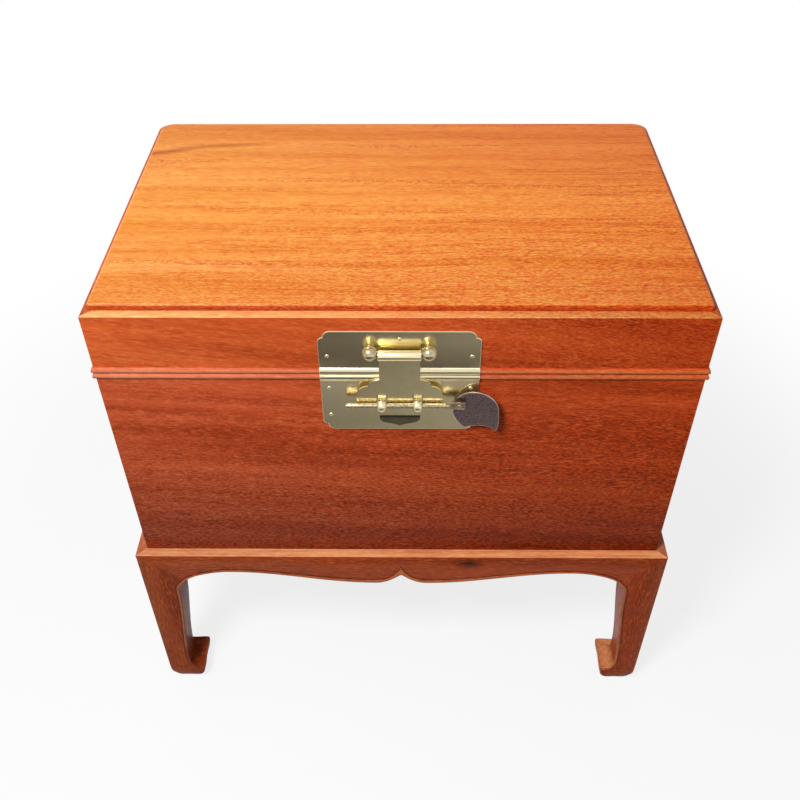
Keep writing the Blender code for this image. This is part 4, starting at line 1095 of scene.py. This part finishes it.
def cut_sheet(name, outlines, thick, place):
    """A piece of sheet: a closed outline, any others as holes in it, given a thickness and put in place."""
    begin()
    bpy.ops.curve.primitive_bezier_curve_add()
    sheet = bpy.context.object
    sheet.name = name
    line = sheet.data
    line.dimensions = "2D"
    line.fill_mode = "BOTH"
    line.extrude = thick / 2
    line.splines.clear()
    for outline in outlines:
        spline = line.splines.new("POLY")
        spline.points.add(len(outline) - 1)
        for point, (x, y) in zip(spline.points, outline):
            point.co = (x, y, 0, 1)
        spline.use_cyclic_u = True
    bpy.ops.object.convert(target="MESH")
    sheet = bpy.context.object
    sheet.matrix_world = place
    bpy.ops.object.transform_apply()
    close_up(sheet)
    plane_off(sheet)
    return sheet


def facing(x, y, z):
    """The place of a sheet that is drawn flat and then stood up to face the front."""
    return Matrix.Translation((x, y, z)) @ Matrix.Rotation(math.pi / 2, 4, "X")


half = [(HASP_NECK, 0)] + arc((HASP_NECK, -SHOULDER_DROP), (BELLY_ROUND, SHOULDER_RISE), 90, 0, 10)
half += arc((BELLY_X, -BELLY_DROP), (BELLY_ROUND, BELLY_DROP - SHOULDER_DROP), 90, 0, 10)[1:]
half += arc((BELLY_X, -BELLY_DROP), (BELLY_ROUND, BELLY_FOOT - BELLY_DROP), 0, -90, 12)[1:]
half += arc((TAIL + TAIL_CORNER, -BELLY_FOOT - TAIL_CORNER), (TAIL_CORNER, TAIL_CORNER), 90, 180, 5)
half += [tuple(point) for point in sweep(((TAIL, -BEND_DROP), *TAIL_PULLS, (0, -TIP_DROP), 14))]
hasp_outlines = [half + [(-x, y) for x, y in reversed(half[:-1])]]
for x in (-SLOT_X, SLOT_X):
    left, right = x - SLOT_HALF, x + SLOT_HALF
    hasp_outlines.append([(left, -SLOT_TOP), (right, -SLOT_TOP), (right, -SLOT_FOOT), (left, -SLOT_FOOT)])
hasp_back = FRONT - HASP_STAND
hasp_place = facing(0, hasp_back - HASP_THICK / 2, HASP_AXLE.z)
hasp_sheet = cut_sheet("sawn_hasp", hasp_outlines, HASP_THICK, hasp_place)
open_up(hasp_sheet)
bend_lines = [HASP_AXLE.z - BEND_DROP + BEND_LENGTH * (0.5 - i / BEND_STEPS) for i in range(BEND_STEPS + 1)]
for z in bend_lines:
    bpy.ops.mesh.select_all(action="SELECT")
    bpy.ops.mesh.bisect(plane_co=(0, 0, z), plane_no=(0, 0, 1))
for z in reversed(bend_lines):
    pick(hasp_sheet, "VERT", lambda point: point.co.z < z - TOUCH)
    turn = math.radians(TIP_ANGLE / len(bend_lines))
    centre = (0, hasp_back - HASP_THICK, z)
    bpy.ops.transform.rotate(value=turn, orient_axis="X", center_override=centre)
shut()
barrel_profile = [(0, -BARREL_HALF), (BARREL - BARREL_EASE, -BARREL_HALF)]
barrel_profile += [(BARREL, BARREL_EASE - BARREL_HALF)]
barrel_profile += [(radius, -along) for radius, along in reversed(barrel_profile)]
carve(hasp_sheet, turned("barrel", HASP_AXLE, (1, 0, 0), barrel_profile, steps=40), "UNION")
bore_profile = [(0, -BORE_HALF), (AXLE_HOLE, -BORE_HALF), (AXLE_HOLE, BORE_HALF), (0, BORE_HALF)]
carve(hasp_sheet, turned("bore", HASP_AXLE, (1, 0, 0), bore_profile))
hasp_brass = metal("hasp_brass", HASP_METAL["clean"], HASP_METAL["dull"], patches=70)
hasp_edge_brass = metal("hasp_edge_brass", HASP_METAL["bright"], HASP_METAL["clean"], rough=FILED)
hasp_tip_dark_reflection = metal("hasp_tip_dark_reflection", *DARK_TIP_REFLECTION, rough=(0.3, 0.4))
paint(hasp_sheet, hasp_brass, hasp_edge_brass, hasp_tip_dark_reflection)
ease(hasp_sheet, HASP_EASE, edge_slot=1)
# The front of the bent tip is painted near-black: a painted dark reflection.
for face in hasp_sheet.data.polygons:
    if face.center.z < bend_lines[0] and face.normal.y < -0.6:
        face.material_index = 2
smooth(hasp_sheet, 20)
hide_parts("hasp")
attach(hasp_sheet, "hasp")

# Two brass eyes that stand out of the lower plate through the hasp's slots, their holes in line for the pin.
# Each is a ring with a domed rim, a little longer below, on a short stem driven into the wall.
PIN_AXIS = Vector((0, -0.2065, 0.5033))
EYE_HALF = 0.0044
EYE_ROUND = 0.0062
EYE_HOLE = 0.0034
EYE_LONG = 1.22
STEM_WIDE = 0.0076
STEM_HIGH = 0.0058
STEM_BITE = 0.0006
EYE_METAL = ((0.90, 0.81, 0.56), (0.72, 0.60, 0.34))
eye_brass = metal("eye_brass", *EYE_METAL, rough=(0.2, 0.34), patches=200)
rim_curve = arc((0, 0), (-EYE_HALF, 1), 0, 180, 12)
rim = [(EYE_HOLE + (EYE_ROUND - EYE_HOLE) * up, across) for across, up in rim_curve]
stem_end = FRONT - PLATE_OUT - PLATE_GAP
stem_start = PIN_AXIS.y + EYE_HOLE + STEM_BITE
for hand, x in (("left", -SLOT_X), ("right", SLOT_X)):
    middle = PIN_AXIS + Vector((x, 0, 0))
    eye = turned(f"eye_{hand}", middle, (1, 0, 0), rim + [rim[0]], steps=48)
    open_up(eye)
    pick(eye, "VERT", lambda point: point.co.z < PIN_AXIS.z - TOUCH)
    bpy.ops.transform.resize(value=(1, 1, EYE_LONG), center_override=middle)
    shut()
    stem_middle = (x, (stem_end + stem_start) / 2, PIN_AXIS.z)
    stem = boxed("stem", stem_middle, (STEM_WIDE, stem_end - stem_start, STEM_HIGH))
    carve(eye, stem, "UNION")
    smooth(eye, 40)
    paint(eye, eye_brass)
    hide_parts(f"lock_eye_{hand}")
    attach(eye, "box")

# The lock pin, a round brass rod dark with handling, swelling a little towards its left end.
# Its right end is hammered to a flat tab for the pull.
PIN = 0.0028
PIN_FLARE = 0.0032
PIN_LEFT = 0.0548
PIN_FLARE_END = 0.0400
PIN_CAP = 0.0015
PIN_ROD_END = 0.050
PIN_EASE = 0.0006
TAB_START = 0.046
TAB_END = 0.0655
TAB_HALF = 0.0042
TAB_THICK = 0.0020
TAB_EASE = 0.0003
PIN_METAL = ((0.56, 0.46, 0.29), (0.19, 0.14, 0.09))
pin_brass = metal("pin_brass", *PIN_METAL, rough=(0.3, 0.5), patches=420)
pin_profile = arc((0, PIN_CAP - PIN_LEFT), (PIN_FLARE, -PIN_CAP), 90, 0, 5)
pin_profile += [(PIN, -PIN_FLARE_END), (PIN, PIN_ROD_END - PIN_EASE)]
pin_profile += [(PIN - PIN_EASE, PIN_ROD_END), (0, PIN_ROD_END)]
pin = turned("pin_rod", PIN_AXIS, (1, 0, 0), pin_profile)
tab_middle = ((TAB_START + TAB_END) / 2, PIN_AXIS.y, PIN_AXIS.z)
carve(pin, boxed("tab", tab_middle, (TAB_END - TAB_START, TAB_THICK, 2 * TAB_HALF)), "UNION")
ease(pin, TAB_EASE)
smooth(pin)
paint(pin, pin_brass)
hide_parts("lock_pin")
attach(pin, "pin")

# The pull, a leaf sawn from bronze sheet and gone nearly black, hung flat behind the pin's tab.
# Handling has kept its edge bright.
RIVET_X = 0.0595
LEAF_THICK = 0.0015
LEAF_EASE = 0.0006
LEAF_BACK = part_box("pull_leaf")[1].y + 0.0035
LEAF_TURN = math.radians(-9)
LEAF_CENTRE = (0.0765, -0.0075)
LEAF_ROUND = 0.0234
LEAF_TIP = (0.0220, -0.0264)
LEAF_HEEL = (-0.0108, -0.0256)
LEAF_CHEEK = ((0.0240, -0.0080), (0.0252, -0.0190))
LEAF_BITE = ((0.0130, -0.0178), (0.0040, -0.0205))
LEAF_BACK_CURVE = ((-0.0170, -0.0220), (-0.0240, -0.0110))
LEAF_METAL = ((0.36, 0.26, 0.26), (0.12, 0.085, 0.095))
LEAF_EDGE_METAL = ((0.85, 0.74, 0.62), (0.50, 0.42, 0.36))
LEAF_BACK_METAL = ((0.86, 0.76, 0.50), (0.70, 0.58, 0.32))
leaf_rim = arc((0, 0), (LEAF_ROUND, LEAF_ROUND), 190, 0, 44)
leaf_foot = sweep(
    (leaf_rim[-1], *LEAF_CHEEK, LEAF_TIP, 12),
    (LEAF_TIP, *LEAF_BITE, LEAF_HEEL, 18),
    (LEAF_HEEL, *LEAF_BACK_CURVE, leaf_rim[0], 12),
)
leaf_outline = leaf_rim + [tuple(point) for point in leaf_foot[1:-1]]
leaf_hang = Matrix.Translation((RIVET_X, LEAF_BACK, 0)) @ Matrix.Rotation(LEAF_TURN, 4, "Z")
leaf_place = leaf_hang @ facing(LEAF_CENTRE[0] - RIVET_X, -LEAF_THICK / 2, PIN_AXIS.z + LEAF_CENTRE[1])
leaf = cut_sheet("pull", [leaf_outline], LEAF_THICK, leaf_place)
leaf_bronze = metal("leaf_bronze", *LEAF_METAL, rough=(0.32, 0.5), patches=520)
leaf_edge_bronze = metal("leaf_edge_bronze", *LEAF_EDGE_METAL, rough=FILED)
leaf_back_brass = metal("leaf_back_brass", *LEAF_BACK_METAL, rough=(0.5, 0.65))
paint(leaf, leaf_bronze, leaf_edge_bronze, leaf_back_brass)
for face in leaf.data.polygons:
    face.material_index = 2 if face.normal.y > 0.85 else 0
ease(leaf, LEAF_EASE, edge_slot=1)
smooth(leaf, 20)
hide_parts("pull_leaf")
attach(leaf, "pin")

# The rivet through tab and pull, a short brass wire with both ends hammered to low domes.
# It is the same dark brass as the pin.
RIVET = 0.0013
RIVET_HEAD = 0.0023
RIVET_CAP = 0.0007
RIVET_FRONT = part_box("pull_rivet")[0].y
RIVET_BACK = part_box("pull_rivet")[1].y + 0.003
rivet_half = (RIVET_BACK - RIVET_FRONT) / 2
rivet_profile = arc((0, RIVET_CAP - rivet_half), (RIVET_HEAD, -RIVET_CAP), 90, 0, 5)
rivet_profile += [(RIVET, RIVET_CAP - rivet_half)]
rivet_profile += [(radius, -along) for radius, along in reversed(rivet_profile)]
rivet_middle = (RIVET_X, (RIVET_FRONT + RIVET_BACK) / 2, PIN_AXIS.z)
rivet = turned("rivet", rivet_middle, (0, -1, 0), rivet_profile, steps=24)
smooth(rivet, 40)
paint(rivet, pin_brass)
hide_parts("pull_rivet")
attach(rivet, "pin")

# The floor and the room: a wide pale floor that keeps a soft shadow, under a plain white sky.
# One lamp stands high at the front left. A grey card lies on the floor in front and shows in reflections
# alone, so that the brass has something darker than the sky to mirror.
FLOOR_SIZE = 12
FLOOR_PALE = (0.95, 0.95, 0.95)
FLOOR_BOUNCE = (0.15, 0.15, 0.15)
FLOOR_FADE = (0.5, 1.1)
FLOOR_GLOW = (0.80, 1.0)
CARD_HALF = 0.9
CARD_DEPTH = (-0.45, -2.6)
CARD_HEIGHT = 0.002
CARD_DARK = (0.116, 0.098, 0.087)
CARD_LIGHT = (0.385, 0.380, 0.350)
CARD_WAY = (1.37, 1, 0)
CARD_FADE = (-1.15, -0.506)
SKY_FILL = (0.58, 0.13)
KEY_PLACE = Vector((-0.5, -0.9, 1.65))
KEY_AIM = Vector((0, 0, 0.45))
KEY_SIZE = 0.36
KEY_POWER = 20.5


def seen_white(tree):
    """One where a ray comes straight from the camera, a mirror or glass, and nothing where it lights."""
    path = node(tree, "LightPath")
    share = path.outputs["Is Camera Ray"]
    for kind in ("Is Glossy Ray", "Is Transmission Ray"):
        share = node(tree, "Math", share, path.outputs[kind], operation="MAXIMUM").outputs["Value"]
    return share


begin()
bpy.ops.mesh.primitive_plane_add(size=FLOOR_SIZE)
floor = bpy.context.object
floor.name = "floor"
floor_paint, tree, shader = new_paint("floor_paint")
tree.nodes.remove(shader)
pale = node(tree, "BsdfDiffuse", Color=FLOOR_PALE).outputs["BSDF"]
bounce = node(tree, "BsdfDiffuse", Color=FLOOR_BOUNCE).outputs["BSDF"]
glow = node(tree, "Emission", Strength=1.0).outputs["Emission"]
laid = node(tree, "TexCoord").outputs["Object"]
reach = node(tree, "VectorMath", laid, operation="LENGTH").outputs["Value"]
fade = node(tree, "MapRange", reach, *FLOOR_FADE, *FLOOR_GLOW)
fade.interpolation_type = "SMOOTHSTEP"
seen = node(tree, "MixShader", fade.outputs["Result"], pale, glow).outputs["Shader"]
surface = node(tree, "MixShader", seen_white(tree), bounce, seen).outputs["Shader"]
tree.links.new(surface, tree.nodes["Material Output"].inputs["Surface"])
paint(floor, floor_paint)

near, far = CARD_DEPTH
card_plan = ((-CARD_HALF, near), (CARD_HALF, near), (CARD_HALF, far), (-CARD_HALF, far))
card = drawn("low_card", [Vector((x, y, CARD_HEIGHT)) for x, y in card_plan])
bpy.ops.mesh.edge_face_add()
shut()
card_paint, tree, shader = new_paint("low_card_paint")
laid = node(tree, "TexCoord").outputs["Object"]
share = graded(tree, laid, CARD_WAY, *CARD_FADE, 0, 1)
tree.links.new(ramp(tree, share, (0.0, CARD_DARK), (1.0, CARD_LIGHT)), shader.inputs["Base Color"])
shader.inputs["Roughness"].default_value = 0.9
paint(card, card_paint)
card.visible_camera = False
card.visible_diffuse = False
card.visible_shadow = False

sky = bpy.data.worlds.new("sky")
sky.use_nodes = True
bpy.context.scene.world = sky
tree = sky.node_tree
heading = node(tree, "SeparateXYZ", node(tree, "TexCoord").outputs["Generated"])
fill = node(tree, "MapRange", heading.outputs["X"], -1, 1, *SKY_FILL).outputs["Result"]
level = node(tree, "MapRange", seen_white(tree), 0, 1, fill, 1).outputs["Result"]
tree.links.new(level, tree.nodes["Background"].inputs["Strength"])
tree.nodes["Background"].inputs["Color"].default_value = (1, 1, 1, 1)

bpy.ops.object.light_add(type="AREA", location=KEY_PLACE)
key = bpy.context.object
key.name = "key_lamp"
key.rotation_euler = (KEY_AIM - KEY_PLACE).to_track_quat("-Z", "Y").to_euler()
key.data.size = KEY_SIZE
key.data.energy = KEY_POWER

# The camera at the photograph's angle, in front of the box and looking down at it.
# Its lens, place and turn come from the corners of the lid and the feet.
CAMERA_PLACE = Vector((0.0104, -0.8849, 1.1332))
CAMERA_PITCH = math.radians(90 - 42.52)
CAMERA_TURN = math.radians(0.857)
CAMERA_ROLL = math.radians(-0.434)
CAMERA_LENS = 41.77
CAMERA_SENSOR = 36
camera = bpy.data.objects.new("camera", bpy.data.cameras.new("camera"))
camera.data.lens = CAMERA_LENS
camera.data.sensor_width = CAMERA_SENSOR
camera.matrix_world = (
    Matrix.Translation(CAMERA_PLACE)
    @ Matrix.Rotation(CAMERA_TURN, 4, "Z")
    @ Matrix.Rotation(CAMERA_PITCH, 4, "X")
    @ Matrix.Rotation(CAMERA_ROLL, 4, "Z")
)
bpy.context.scene.collection.objects.link(camera)
bpy.context.scene.camera = camera
bpy.context.scene.view_settings.view_transform = "Standard"
